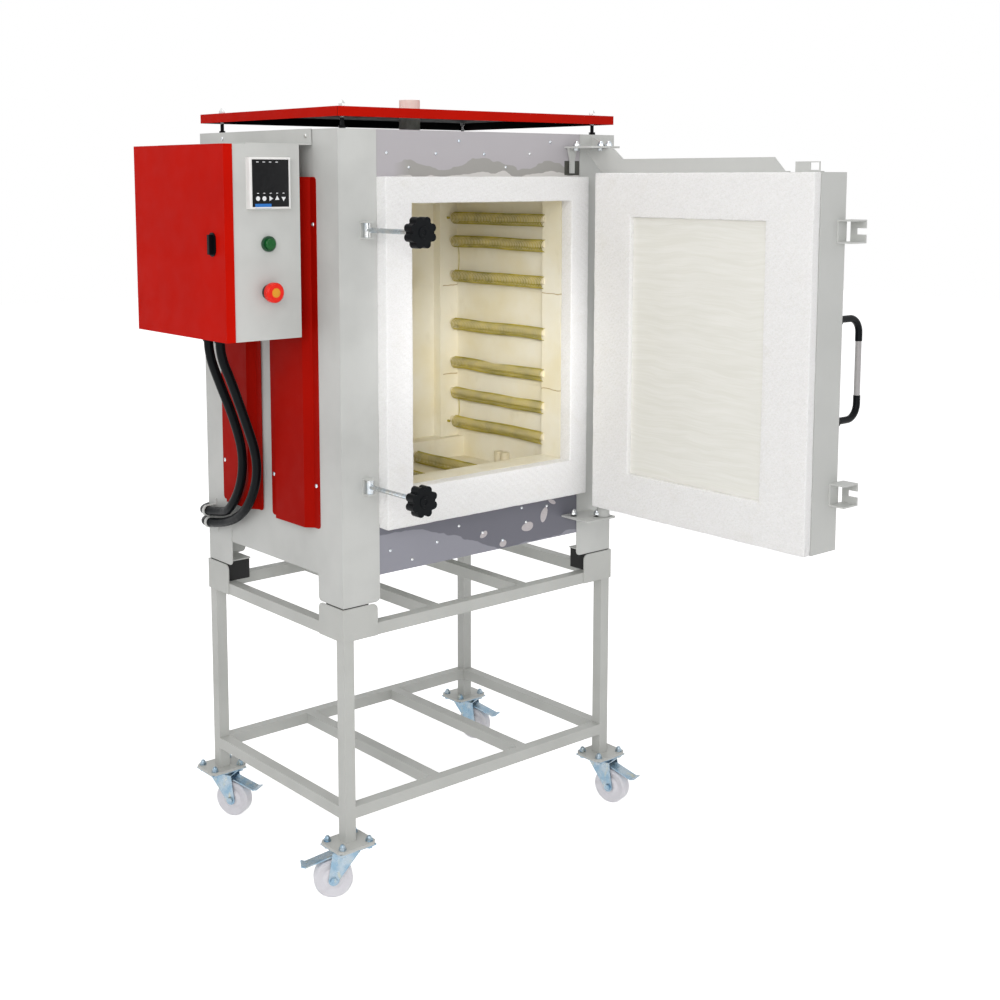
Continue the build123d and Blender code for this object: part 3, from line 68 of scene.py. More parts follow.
@dataclass
class Surface:
    """Points and faces of one surface, in millimetres."""

    points: np.ndarray
    faces: list[np.ndarray]

    @staticmethod
    def joined(parts: list["Surface"]) -> "Surface":
        """Puts surfaces together, each one's faces counted on from the points before it.

        Args:
            parts: the surfaces.

        Returns:
            One surface that holds them all.
        """
        offsets = np.cumsum([0] + [len(p.points) for p in parts[:-1]])
        faces = [f + o for p, o in zip(parts, offsets) for f in p.faces]
        return Surface(np.concatenate([p.points for p in parts]), faces)

    def placed(self, places: object, facing: Axis, turn: float = 0.0) -> "Surface":
        """Copies the surface to each place with its own +Z turned to a direction.

        A point (x, y, z) goes to the place plus x u + y v + z w, where w is the direction and
        u and v are square to it and to each other.

        Args:
            places: points that the surface's origin goes to, as rows or an array (n, 3).
            facing: where the surface's +Z looks.
            turn: turn about that direction, in degrees.

        Returns:
            All the copies as one surface.
        """
        w = np.array(facing.value)
        u = np.cross((0.0, 1.0, 0.0) if abs(w[1]) < 0.5 else (0.0, 0.0, 1.0), w)
        v = np.cross(w, u)
        c, s = math.cos(math.radians(turn)), math.sin(math.radians(turn))
        axes = np.stack([c * u + s * v, c * v - s * u, w])
        one = self.points @ axes
        places = np.asarray(places, float).reshape(-1, 3)
        points = (places[:, None, :] + one[None, :, :]).reshape(-1, 3)
        steps = (np.arange(len(places)) * len(one))[:, None, None]
        faces = [(f[None, :, :] + steps).reshape(-1, f.shape[1]) for f in self.faces]
        return Surface(points, faces)

    def piece(self, name: str, finish: "Finish", body: str, slot: str,
              crease: float = 40.0) -> bpy.types.Object:
        """Puts the surface in the scene as a piece that rides on a body.

        Args:
            name: the piece's name.
            finish: what it is covered with.
            body: the body that carries it.
            slot: the record's material slot; not used.
            crease: edges sharper than this many degrees stay sharp.

        Returns:
            The new object, at the origin.
        """
        mesh = bpy.data.meshes.new(name)
        mesh.vertices.add(len(self.points))
        mesh.vertices.foreach_set("co", (self.points * MM).astype(np.float32).ravel())
        corners = np.concatenate([f.ravel() for f in self.faces]).astype(np.int32)
        counts = np.concatenate([np.full(len(f), f.shape[1]) for f in self.faces])
        mesh.loops.add(len(corners))
        mesh.loops.foreach_set("vertex_index", corners)
        mesh.polygons.add(len(counts))
        starts = np.concatenate([[0], np.cumsum(counts)[:-1]]).astype(np.int32)
        mesh.polygons.foreach_set("loop_start", starts)
        mesh.update(calc_edges=True)
        mesh.shade_smooth()
        mesh.set_sharp_from_angle(angle=math.radians(crease))
        mesh.materials.append(finish.material())
        made = linked(name, mesh)
        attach(made, body)
        log.info("%s: %d points on %s", name, len(self.points), body)
        return made


def linked(name: str, data: bpy.types.ID) -> bpy.types.Object:
    """Puts a new object in the scene, at the origin.

    Args:
        name: the object's name.
        data: its mesh, curve, light or camera.

    Returns:
        The object.
    """
    made = bpy.data.objects.new(name, data)
    bpy.context.scene.collection.objects.link(made)
    return made


def grid_faces(rows: int, columns: int) -> np.ndarray:
    """Quads of a grid of points whose columns close into a ring.

    Point (r, c) is stored at r times columns plus c. Each quad has two rows and two columns.

    Args:
        rows: how many rings of points.
        columns: how many points in each ring.

    Returns:
        The corners of each quad, as rows of four.
    """
    row = np.arange(rows - 1)[:, None] * columns
    column = np.arange(columns)[None, :]
    after = (column + 1) % columns
    corners = [row + column, row + after, row + columns + after, row + columns + column]
    return np.stack(corners, -1).reshape(-1, 4)


def ring_ends(rows: int, columns: int) -> np.ndarray:
    """Triangles that close a grid's first and last ring.

    Those of one ring meet at its pole point. The two poles are stored after the grid.

    Args:
        rows: how many rings of points.
        columns: how many points in each ring.

    Returns:
        The corners of each triangle, as rows of three.
    """
    column = np.arange(columns)
    after = (column + 1) % columns
    first = np.stack([np.full(columns, rows * columns), after, column], -1)
    base = (rows - 1) * columns
    last = np.stack([np.full(columns, rows * columns + 1), base + column, base + after], -1)
    return np.concatenate([first, last])


def turned(profile: tuple | list, sides: int = 24) -> Surface:
    """A closed turned form about +Z.

    Point (r, h) of the profile goes round as (r cos a, r sin a, h). Both ends close on the axis.

    Args:
        profile: radius and height from the foot to the top.
        sides: steps round the axis.

    Returns:
        The surface.
    """
    r, h = np.array(profile, float).T
    a = np.arange(sides) * 2 * math.pi / sides
    level = np.repeat(h[:, None], sides, 1)
    rings = np.stack([np.outer(r, np.cos(a)), np.outer(r, np.sin(a)), level], -1)
    points = np.concatenate([rings.reshape(-1, 3), [(0, 0, h[0]), (0, 0, h[-1])]])
    return Surface(points, [grid_faces(len(r), sides), ring_ends(len(r), sides)])


def plate(outline: list[Point], height: float) -> Surface:
    """A flat plate.

    Each point (x, y) of the outline gives a lower point (x, y, 0) and one above it at the height.

    Args:
        outline: corners in X and Y, run round anticlockwise.
        height: its thickness along Z.

    Returns:
        The surface, closed at both faces over the outline's middle.
    """
    flat = np.array(outline, float)
    count = len(flat)
    low = np.column_stack([flat, np.zeros(count)])
    middle = flat.mean(0)
    points = np.concatenate([low, low + (0, 0, height), [(*middle, 0), (*middle, height)]])
    return Surface(points, [grid_faces(2, count), ring_ends(2, count)])


def swept(path: np.ndarray, radius: float, inward: np.ndarray, sides: int = 6) -> Surface:
    """A round wire along a path.

    At each point the section is radius (n cos a + b sin a), where n is the given inward direction
    made square to the path and b is their cross product.

    Args:
        path: points (n, 3) along the wire.
        radius: the wire's radius.
        inward: a direction (n, 3) or (3,) at each point that isn't along the path.
        sides: steps round the wire.

    Returns:
        The surface, with closed ends.
    """
    along = np.gradient(path, axis=0)
    along /= np.linalg.norm(along, axis=1)[:, None]
    normal = np.broadcast_to(inward, path.shape) - along * np.sum(along * inward, axis=1)[:, None]
    normal /= np.linalg.norm(normal, axis=1)[:, None]
    side = np.cross(along, normal)
    a = np.arange(sides) * 2 * math.pi / sides
    out = normal[:, None] * np.cos(a)[:, None] + side[:, None] * np.sin(a)[:, None]
    rings = path[:, None] + radius * out
    points = np.concatenate([rings.reshape(-1, 3), [path[0], path[-1]]])
    return Surface(points, [grid_faces(len(path), sides), ring_ends(len(path), sides)])


def ripple(points: np.ndarray, length: float, seed: int) -> np.ndarray:
    """A smooth unevenness in -1..1: the mean of nine sine waves of random directions and phases.

    Args:
        points: where it is read (..., 3).
        length: the middle wavelength in millimetres.
        seed: picks the waves.

    Returns:
        One number for each point.
    """
    rng = np.random.default_rng(seed)
    ways = rng.normal(size=(9, 3))
    ways /= np.linalg.norm(ways, axis=1)[:, None]
    numbers = 2 * math.pi / (length * rng.uniform(0.6, 1.7, 9))
    phases = rng.uniform(0, 2 * math.pi, 9)
    return np.sin(points @ (ways * numbers[:, None]).T + phases).mean(-1) * 1.6


def soft_bar(low: tuple, high: tuple, along: int, edge: float, uneven: float, seed: int) -> Surface:
    """A strip of fibre with rounded, slightly uneven edges.

    Each section is the inner rectangle pushed out by r(s), where r is a quarter circle near both
    ends and the edge radius between them; every point then sinks by a smooth unevenness.

    Args:
        low: lowest corner.
        high: highest corner.
        along: index of the long axis.
        edge: radius of the edges.
        uneven: deepest sink.
        seed: picks the unevenness.

    Returns:
        The surface, inside the two corners.
    """
    low, high = np.array(low, float), np.array(high, float)
    cross = [k for k in range(3) if k != along]
    length = high[along] - low[along]
    inner = (high - low)[cross] / 2 - edge
    ends = edge * (1 - np.cos(np.linspace(0, math.pi / 2, 5)))
    body = np.linspace(edge, length - edge, max(3, int(length / 7)))[1:-1]
    s = np.concatenate([ends, body, length - ends[::-1]])
    near = np.minimum(np.minimum(s, length - s), edge)
    reach = np.sqrt(np.maximum(edge**2 - (edge - near) ** 2, 0.04))
    corners, pushes = [], []
    for k, (sx, sy) in enumerate(((1, 1), (-1, 1), (-1, -1), (1, -1))):
        a = (k + np.linspace(0, 1, 5)) * math.pi / 2
        corners += [(sx, sy)] * 5
        pushes += list(zip(np.cos(a), np.sin(a)))
        nx, ny = ((-1, 1), (-1, -1), (1, -1), (1, 1))[k]
        steps = max(2, int(2 * inner[k % 2] / 8))
        turn = (k + 1) * math.pi / 2
        for t in np.arange(1, steps) / steps:
            corners.append((sx + (nx - sx) * t, sy + (ny - sy) * t))
            pushes.append((math.cos(turn), math.sin(turn)))
    corners, pushes = np.array(corners), np.array(pushes)
    flat = corners[None] * inner + pushes[None] * reach[:, None, None]
    points = np.empty((len(s), len(corners), 3))
    points[..., along] = (low[along] + s)[:, None]
    points[..., cross] = ((low + high) / 2)[cross] + flat
    sink = uneven * (0.5 + 0.5 * ripple(points, 55.0, seed))
    sink = sink + 0.35 * uneven * ripple(points, 16.0, seed + 1)
    points[..., cross] -= pushes[None] * np.clip(sink, 0, None)[..., None]
    rows, columns = len(s), len(corners)
    poles = np.stack([points[0].mean(0), points[-1].mean(0)])
    faces = [grid_faces(rows, columns), ring_ends(rows, columns)]
    if along == 1:
        faces = [f[:, ::-1] for f in faces]
    return Surface(np.concatenate([points.reshape(-1, 3), poles]), faces)


# Finishes


def linear(code: str) -> Point:
    """Turns an sRGB hex colour to linear values with full alpha."""
    parts = [int(code[i : i + 2], 16) / 255 for i in (0, 2, 4)]
    return (*[p / 12.92 if p <= 0.04045 else ((p + 0.055) / 1.055) ** 2.4 for p in parts], 1.0)


def found(tree: bpy.types.NodeTree, kind: str) -> bpy.types.Node:
    """The node of a type that a new tree comes with."""
    return next(n for n in tree.nodes if n.type == kind)


@dataclass
class Shading:
    """A node tree, and a material's shader, its object's own coordinates and its roughness."""

    tree: bpy.types.NodeTree
    shader: bpy.types.Node | None = None
    place: Socket | None = None
    roughness: float = 0.5

    def add(self, kind: str, inputs: dict | tuple = (), **settings: object) -> Socket:
        """Adds a node and fills it.

        Args:
            kind: the node's type name without its ShaderNode prefix.
            inputs: values by socket name, or for the sockets in use in their order. Each is a
                number, a vector, a hex colour or another node's output.
            settings: properties of the node.

        Returns:
            The node's first output in use.
        """
        made = self.tree.nodes.new("ShaderNode" + kind)
        for key, value in settings.items():
            setattr(made, key, value)
        if isinstance(inputs, dict):
            sockets = [made.inputs[key] for key in inputs]
            inputs = inputs.values()
        else:
            sockets = [socket for socket in made.inputs if socket.enabled]
        for socket, value in zip(sockets, inputs):
            if isinstance(value, Socket):
                self.tree.links.new(value, socket)
            else:
                socket.default_value = linear(value) if isinstance(value, str) else value
        return next(socket for socket in made.outputs if socket.enabled)

    def spots(self, size: float, detail: float = 2.0, stretch: tuple = (1.0, 1.0, 1.0),
              place: Socket | None = None) -> Socket:
        """A noise pattern whose spots have a real size.

        Args:
            size: how wide a spot is, in millimetres.
            detail: how many finer layers it has.
            stretch: how far the spots are drawn out on each axis.
            place: coordinates in metres, the object's own where none are given.

        Returns:
            The noise, about 0.5 in the mean.
        """
        scale = tuple(1.0 / s for s in stretch)
        scaled = self.add("Mapping", {"Vector": place or self.place, "Scale": scale})
        return self.add("TexNoise", {"Vector": scaled, "Scale": 1000.0 / size, "Detail": detail})

    def colour(self, value: Socket) -> None:
        """Gives the shader its colour."""
        self.tree.links.new(value, self.shader.inputs["Base Color"])

    def gloss(self, value: Socket, swing: float) -> None:
        """Lets the roughness swing about its value.

        Args:
            value: a noise between 0 and 1.
            swing: how far it goes to either side.
        """
        low, high = max(self.roughness - swing, 0.03), min(self.roughness + swing, 1.0)
        swung = self.add("MapRange", (value, 0.3, 0.7, low, high))
        self.tree.links.new(swung, self.shader.inputs["Roughness"])

    def relief(self, value: Socket, depth: float, before: Socket | None = None) -> Socket:
        """Raises the surface where a value is 1.

        Args:
            value: a noise or pattern between 0 and 1.
            depth: the height in millimetres.
            before: the bump that this one adds to.

        Returns:
            The bump, which the shader reads.
        """
        inputs = {"Height": value, "Distance": depth * MM, "Strength": 1.0}
        if before is not None:
            inputs["Normal"] = before
        made = self.add("Bump", inputs)
        self.tree.links.new(made, self.shader.inputs["Normal"])
        return made


@dataclass(frozen=True)
class Finish:
    """A finish of one colour and gloss; the classes after it add what varies over the surface."""

    name: str
    colour: str
    roughness: float = 0.5
    metallic: float = 0.0
    specular: float = 0.5

    def material(self) -> bpy.types.Material:
        """Makes the material, once.

        Returns:
            The material, new or made before.
        """
        if self.name in bpy.data.materials:
            return bpy.data.materials[self.name]
        made = bpy.data.materials.new(self.name)
        made.use_nodes = True
        tree = made.node_tree
        shader = found(tree, "BSDF_PRINCIPLED")
        shader.inputs["Base Color"].default_value = linear(self.colour)
        shader.inputs["Roughness"].default_value = self.roughness
        shader.inputs["Metallic"].default_value = self.metallic
        shader.inputs["Specular IOR Level"].default_value = self.specular
        made.diffuse_color = linear(self.colour)
        place = Shading(tree).add("TexCoord").node.outputs["Object"]
        self.dress(Shading(tree, shader, place, self.roughness))
        return made

    def dress(self, to: Shading) -> None:
        """Adds the pattern; the plain finish has a faint unevenness of gloss."""
        to.gloss(to.spots(12.0, 3), 0.06)


@dataclass(frozen=True)
class PowderCoat(Finish):
    """Powder coat on folded steel: orange peel of 2 mm, faint cloudiness and thin rubs."""

    cloud: str = ""
    peel: float = 0.012

    def dress(self, to: Shading) -> None:
        """Adds cloud, rubs and peel.

        Args:
            to: the material's tree and shader.
        """
        cloud = to.add("MapRange", (to.spots(140, 4), 0.35, 0.7))
        colour = to.add("Mix", (cloud, self.colour, self.cloud or self.colour), data_type="RGBA")
        rub = to.add("MapRange", (to.spots(60, 6, (1, 1, 9)), 0.66, 0.74, 0.0, 0.22))
        colour = to.add("Mix", (rub, colour, self.cloud or self.colour), data_type="RGBA")
        to.colour(self.inside_shade(to, colour))
        to.gloss(to.spots(30, 5), 0.07)
        to.relief(to.spots(2.0, 1), self.peel)

    def inside_shade(self, to: Shading, colour: Socket) -> Socket:
        """Returns the colour as it is; a tray with painted shade darkens it inside."""
        return colour


@dataclass(frozen=True)
class TrayWithPaintedShade(PowderCoat):
    """Powder coat on a folded tray, black a skin's depth in as painted shade under the lid."""

    low: Point = (-293.5, 57.75)
    high: Point = (456.5, 584.75)
    top: float = 1597.0
    skin: float = 0.9
    # Colour of the painted shade inside the tray.
    black: str = "0b0b0c"

    def inside_shade(self, to: Shading, colour: Socket) -> Socket:
        """Paints what is inside the rim and under the top black, as painted shade under the lid.

        Args:
            to: the material's tree and shader.
            colour: the powder coat's colour.

        Returns:
            The colour with its painted shade.
        """
        axes = to.add("SeparateXYZ", (to.place,)).node.outputs
        inside = to.add("Math", ((self.top - self.skin) * MM, axes[2]), operation="GREATER_THAN")
        for axis, low, high in zip(axes, self.low, self.high):
            half = (high - low) / 2 - self.skin
            reach = to.add("Math", (axis, (low + high) / 2 * MM, half * MM), operation="COMPARE")
            inside = to.add("Math", (inside, reach), operation="MULTIPLY")
        # Painted shade: black inside the rim and under the top of the lid.
        return to.add("Mix", (inside, colour, self.black), data_type="RGBA")


@dataclass(frozen=True)
class SmearedSheet(Finish):
    """Painted front sheet, paler above and darker below as painted shade, with dried cement over
    the ring.
    """

    # The darkest painted shade, at the ring's foot.
    low: str = "74747e"
    wash: str = "9a9aa4"
    film: str = "a3a19b"
    cement: str = "dad7d4"
    ring_top: float = 1463.0
    ring_foot: float = 757.0
    middle: float = 1200.0
    film_x: Point = (-160.0, -120.0)
    wash_x: Point = (-90.0, 130.0)
    wash_z: Point = (742.0, 668.0)
    wave: float = 12.0

    def dress(self, to: Shading) -> None:
        """Adds the painted shade from top to foot, the band of film, the cement crust over the ring
        and the lighter wash below the foot.

        Args:
            to: the material's tree and shader.
        """
        x, _, z = to.add("SeparateXYZ", (to.place,)).node.outputs
        # Painted shade: the sheet darkens from the ring's top down to its foot.
        shade = to.add("MapRange", (z, self.ring_foot * MM, self.ring_top * MM))
        colour = to.add("Mix", (shade, self.low, self.colour), data_type="RGBA")
        wobble = to.spots(70, 3, (1.6, 1, 1))
        limits = ((self.ring_top + 4) * MM, (self.ring_top + 38) * MM)
        edge = to.add("MapRange", (wobble, 0.3, 0.7, *limits))
        under = to.add("Math", (edge, z), operation="GREATER_THAN")
        above = to.add("Math", (z, self.middle * MM), operation="GREATER_THAN")
        inner = to.add("MapRange", (x, *(v * MM for v in self.film_x)))
        mask = to.add("Math", (under, above), operation="MULTIPLY")
        mask = to.add("Math", (mask, inner), operation="MULTIPLY")
        mask = to.add("Math", (mask, 0.8), operation="MULTIPLY")
        colour = to.add("Mix", (mask, colour, self.film), data_type="RGBA")
        limits = ((self.ring_top - 4) * MM, (self.ring_top + 14) * MM)
        edge = to.add("MapRange", (wobble, 0.35, 0.65, *limits))
        crust = to.add("Math", (edge, z), operation="GREATER_THAN")
        crust = to.add("Math", (crust, above), operation="MULTIPLY")
        crust = to.add("Math", (crust, inner), operation="MULTIPLY")
        colour = to.add("Mix", (crust, colour, self.cement), data_type="RGBA")
        below = to.add("MapRange", (z, (self.ring_foot + 3) * MM, self.ring_foot * MM))
        slope = to.add("MapRange", (x, *(v * MM for v in (*self.wash_x, *self.wash_z))))
        curve = to.add("MapRange", (wobble, 0.3, 0.7, -self.wave * MM, self.wave * MM))
        line = to.add("Math", (slope, curve), operation="ADD")
        gap = to.add("Math", (line, z), operation="SUBTRACT")
        washed = to.add("MapRange", (gap, 0.0, 0.002))
        washed = to.add("Math", (washed, below), operation="MULTIPLY")
        colour = to.add("Mix", (washed, colour, self.wash), data_type="RGBA")
        to.colour(colour)
        to.gloss(to.spots(25, 4), 0.08)
        to.relief(to.spots(3, 2), 0.01)


@dataclass(frozen=True)
class CeramicFibre(Finish):
    """Woven ceramic fibre felt: slanting ribs with a cross thread, soft pits and a matt nap."""

    shade: str = "eeedea"
    rib: float = 7.0
    slant: float = 0.3
    stain: str = "e2ddd0"

    def dress(self, to: Shading) -> None:
        """Adds ribs, threads, pits and the nap's sheen.

        Args:
            to: the material's tree and shader.
        """
        lumps = to.spots(45, 4)
        fluff = to.spots(2.4, 5, (1.5, 1.5, 0.7))
        lean = {"Vector": to.place, "Rotation": (self.slant, self.slant, 0.0)}
        bent = to.add("Mapping", lean)
        wave = {"Vector": bent, "Scale": 100 * math.pi / self.rib, "Distortion": 2.2}
        wave.update({"Detail": 2.0, "Detail Scale": 2.0})
        kinds = [{"wave_type": "BANDS", "bands_direction": way} for way in ("Z", "DIAGONAL")]
        ribs, threads = (to.add("TexWave", wave, **k).node.outputs["Fac"] for k in kinds)
        weave = to.add("Math", (ribs, threads), operation="ADD")
        tone = to.add("MapRange", (fluff, 0.25, 0.6))
        colour = to.add("Mix", (tone, self.shade, self.colour), data_type="RGBA")
        stain = to.add("MapRange", (lumps, 0.6, 0.8, 0.0, 0.2))
        to.colour(to.add("Mix", (stain, colour, self.stain), data_type="RGBA"))
        to.shader.inputs["Sheen Weight"].default_value = 0.25
        first = to.relief(lumps, 2.0)
        second = to.relief(weave, 0.35, first)
        to.relief(fluff, 0.35, second)


@dataclass(frozen=True)
class Firebrick(Finish):
    """Insulating firebrick: cream, full of 1 mm pores, browner at its joints and by the heat."""

    warm: str = "f3e8c4"
    joints: Point = ()
    joint_from: float = 272.0
    smoke: str = "cfc39c"
    brown: str = "b3954a"

    def dress(self, to: Shading) -> None:
        """Adds warm clouds, pores, saw marks and the brown line of each course.

        Args:
            to: the material's tree and shader.
        """
        x, _, z = to.add("SeparateXYZ", (to.place,)).node.outputs
        cloud = to.spots(120, 5)
        warm = to.add("MapRange", (cloud, 0.4, 0.75, 0.0, 0.8))
        colour = to.add("Mix", (warm, self.colour, self.warm), data_type="RGBA")
        smoke = to.add("MapRange", (to.spots(50, 6, (1, 1, 1.6)), 0.62, 0.8, 0.0, 0.25))
        colour = to.add("Mix", (smoke, colour, self.smoke), data_type="RGBA")
        right = to.add("Math", (x, self.joint_from * MM), operation="GREATER_THAN")
        wobble = to.spots(30, 3)
        for height in self.joints:
            limits = ((height - 1.6) * MM, (height + 1.6) * MM)
            middle = to.add("MapRange", (wobble, 0.3, 0.7, *limits))
            gap = to.add("Math", (z, middle), operation="SUBTRACT")
            gap = to.add("Math", (gap,), operation="ABSOLUTE")
            line = to.add("MapRange", (gap, 0.0014, 0.0007, 0.0, 0.75))
            line = to.add("Math", (line, right), operation="MULTIPLY")
            colour = to.add("Mix", (line, colour, self.brown), data_type="RGBA")
        to.colour(colour)
        saw = to.spots(4, 3, (5, 5, 0.8))
        pores = to.add("MapRange", (to.spots(1.6, 2), 0.3, 0.45))
        first = to.relief(saw, 0.35)
        to.relief(pores, 0.3, first)


@dataclass(frozen=True)
class BrushedBoard(Finish):
    """Fibre board under a brushed wash: fine level strokes that bend a little."""

    stroke: str = "f6f5ef"

    def dress(self, to: Shading) -> None:
        """Adds the brush strokes along Y.

        Args:
            to: the material's tree and shader.
        """
        bend = to.spots(120, 2)
        lifted = to.add("Math", (bend, 0.03), operation="MULTIPLY")
        shift = to.add("CombineXYZ", {"Z": lifted})
        bent = to.add("VectorMath", (to.place, shift), operation="ADD")
        strokes = to.spots(2.6, 4, (1, 30, 1), bent)
        wide = to.spots(11, 3, (1, 14, 1), bent)
        both = to.add("Math", (strokes, wide), operation="ADD")
        tone = to.add("MapRange", (both, 0.8, 1.25))
        to.colour(to.add("Mix", (tone, self.colour, self.stroke), data_type="RGBA"))
        first = to.relief(strokes, 0.16)
        to.relief(to.spots(1.5, 2), 0.06, first)


@dataclass(frozen=True)
class ElementWire(Finish):
    """Resistance wire after firing: an olive oxide skin with ochre and pale ash spots."""

    ochre: str = "cbb944"
    ash: str = "e6d88c"

    def dress(self, to: Shading) -> None:
        """Adds ochre clouds and ash spots.

        Args:
            to: the material's tree and shader.
        """
        cloud = to.add("MapRange", (to.spots(35, 4), 0.35, 0.65))
        colour = to.add("Mix", (cloud, self.colour, self.ochre), data_type="RGBA")
        ash = to.add("MapRange", (to.spots(9, 5), 0.52, 0.68, 0.0, 0.5))
        to.colour(to.add("Mix", (ash, colour, self.ash), data_type="RGBA"))
        to.relief(to.spots(1.2, 2), 0.05)


@dataclass(frozen=True)
class PlatedSteel(Finish):
    """Zinc plated pressings: bluish passivation that turns a little yellow, with soft spangle."""

    blue: str = "88a4b8"
    tinge: str = "c4bd9c"

    def dress(self, to: Shading) -> None:
        """Adds the blue and yellow clouds and small press marks.

        Args:
            to: the material's tree and shader.
        """
        cloud = to.add("MapRange", (to.spots(22, 3), 0.38, 0.62))
        colour = to.add("Mix", (cloud, self.colour, self.blue), data_type="RGBA")
        tinge = to.add("MapRange", (to.spots(14, 2, (1, 1, 2)), 0.56, 0.72, 0.0, 0.55))
        to.colour(to.add("Mix", (tinge, colour, self.tinge), data_type="RGBA"))
        to.gloss(to.spots(6, 4), 0.12)
        to.relief(to.spots(1.5, 2), 0.02)


@dataclass(frozen=True)
class StudSteel(PlatedSteel):
    """Plated studs, bright above the lid, with painted shade that makes them black under it."""

    painted_shade_below: float = 1577.0
    # Colour of the painted shade under the lid.
    black: str = "161617"

    def dress(self, to: Shading) -> None:
        """Adds the plated colour above the lid, the painted shade under it and small press marks.

        Args:
            to: the material's tree and shader.
        """
        z = to.add("SeparateXYZ", (to.place,)).node.outputs[2]
        # Painted shade: the studs turn black below the lid's underside.
        above = to.add("Math", (z, self.painted_shade_below * MM), operation="GREATER_THAN")
        to.colour(to.add("Mix", (above, self.black, self.colour), data_type="RGBA"))
        to.gloss(to.spots(6, 4), 0.1)
        to.relief(to.spots(1.5, 2), 0.02)


@dataclass(frozen=True)
class MouldedPlastic(Finish):
    """Moulded plastic or rubber with a fine spark texture and a dusting on what it picks up."""

    dust: str = ""
    grain: float = 1.2
    depth: float = 0.03

    def dress(self, to: Shading) -> None:
        """Adds the texture and the dust.

        Args:
            to: the material's tree and shader.
        """
        dust = to.add("MapRange", (to.spots(18, 5), 0.5, 0.75, 0.0, 0.5))
        to.colour(to.add("Mix", (dust, self.colour, self.dust or self.colour), data_type="RGBA"))
        to.gloss(to.spots(8, 3), 0.08)
        to.relief(to.spots(self.grain, 1), self.depth)


@dataclass(frozen=True)
class BezelPlastic(MouldedPlastic):
    """Panel fittings: a white frame high up, a green ring and a black collar below it."""

    frame_low: float = 1390.0
    collar_high: float = 1275.0
    collar: str = "161718"
    ring: str = "134a2a"

    def dress(self, to: Shading) -> None:
        """Adds the three colours by height.

        Args:
            to: the material's tree and shader.
        """
        z = to.add("SeparateXYZ", (to.place,)).node.outputs[2]
        low = to.add("Math", (z, self.collar_high * MM), operation="GREATER_THAN")
        high = to.add("Math", (z, self.frame_low * MM), operation="GREATER_THAN")
        foot = to.add("Mix", (low, self.collar, self.ring), data_type="RGBA")
        colour = to.add("Mix", (high, foot, self.colour), data_type="RGBA")
        to.colour(colour)
        to.relief(to.spots(1.0, 1), 0.02)


GREY = PowderCoat("powder_coat_light_grey", "d3d4d1", 0.45, specular=0.35, cloud="c7c8c5")
CASING_GREY = PowderCoat("powder_coat_casing_grey", "cfd0cd", 0.48, specular=0.35, cloud="cacbc8")
STAND_GREY = PowderCoat("powder_coat_stand_grey", "cacbc7", 0.42, specular=0.35, cloud="c2c3bf")
RED = PowderCoat("powder_coat_signal_red", "cc1000", 0.5, specular=0.05, cloud="c40e00")
# The vent panels' red is the signal red made darker as painted shade under the control box.
VENT_RED_PAINTED_SHADE = PowderCoat("powder_coat_red_painted_shade", "ab0c00", 0.5, specular=0.05, cloud="a20a00")
LID_RED = TrayWithPaintedShade("powder_coat_lid_red", "c61200", 0.5, specular=0.05, cloud="bd1000")
FRONT_METAL = SmearedSheet("painted_front_sheet", "bdb9bd", 0.42, specular=0.35)
# A dark grey that stands for the painted shade of the recess behind the upper hinge.
POCKET_PAINTED_SHADE = Finish("hinge_pocket_painted_shade", "4b4b45", 0.6)
CEMENT = CeramicFibre("dried_cement", "d3ccce", 0.85, shade="c9c2c4", rib=3.0)
FIBRE = CeramicFibre("woven_ceramic_fibre", "fbfafa", 0.95)
WADDING = CeramicFibre("ceramic_fibre_filling", "efece2", 0.95)
BRICK = Firebrick("insulating_firebrick", "fcf7e6", 0.93)
COURSED_BRICK = Firebrick("coursed_firebrick", "fcf7e6", 0.93, joints=(990.0, 1205.0))
BOARD = BrushedBoard("washed_fibre_board", "efeee6", 0.85)
BACKING = Firebrick("backing_board", "ddd8ca", 0.95)
CERAMIC = Firebrick("fired_ceramic_rod", "e6dcc2", 0.6)
TUBE = Firebrick("fired_ceramic_tube", "fafaf0", 0.7, warm="fbfaf2")
WIRE = ElementWire("oxidised_element_wire", "90862b", 0.6, 0.1)
ZINC = PlatedSteel("zinc_plated_steel", "a8b6c0", 0.33, 0.95)
BRIGHT = PlatedSteel("bright_steel", "d5d6d6", 0.22, 1.0, blue="c3ccd4", tinge="c9c6bd")
STUD = StudSteel("lid_stud_steel", "d5d6d6", 0.25, 1.0)
BLACK = MouldedPlastic("black_moulded_plastic", "0a0d10", 0.38, specular=0.1, dust="101417")
CONDUIT_BLACK = MouldedPlastic("black_conduit_plastic", "080c0f", 0.4, specular=0.1, dust="0d1214")
RUBBER = MouldedPlastic("black_rubber", "131315", 0.75, specular=0.3, dust="1f1f20", depth=0.08)
NYLON = MouldedPlastic("white_nylon", "e8e6eb", 0.4, dust="d3d0d6")
GRIP = MouldedPlastic("grey_grip", "b1aeae", 0.38, dust="a29f9f")
GEAR = MouldedPlastic("grey_gear_plastic", "8d9092", 0.5, dust="7d8081")
BEZEL = BezelPlastic("panel_fitting_plastic", "f1f0ee", 0.35)
DISPLAY = MouldedPlastic("display_glass", "07080b", 0.12, specular=0.2, depth=0.0)
GREEN = MouldedPlastic("green_lens", "075a22", 0.25, specular=0.3, dust="064a1c", depth=0.01)
STOP_RED = MouldedPlastic(
    "red_button_plastic", "f0210c", 0.3, specular=0.25, dust="e21c0a", depth=0.01)
STOP_YELLOW = MouldedPlastic("yellow_button_mark", "e69a12", 0.45)
PRINT = MouldedPlastic("white_panel_print", "f2f3f5", 0.5)
BLUE_PRINT = MouldedPlastic("blue_panel_print", "1d74c8", 0.5)

CORNERS = ("fl", "fr", "bl", "br")

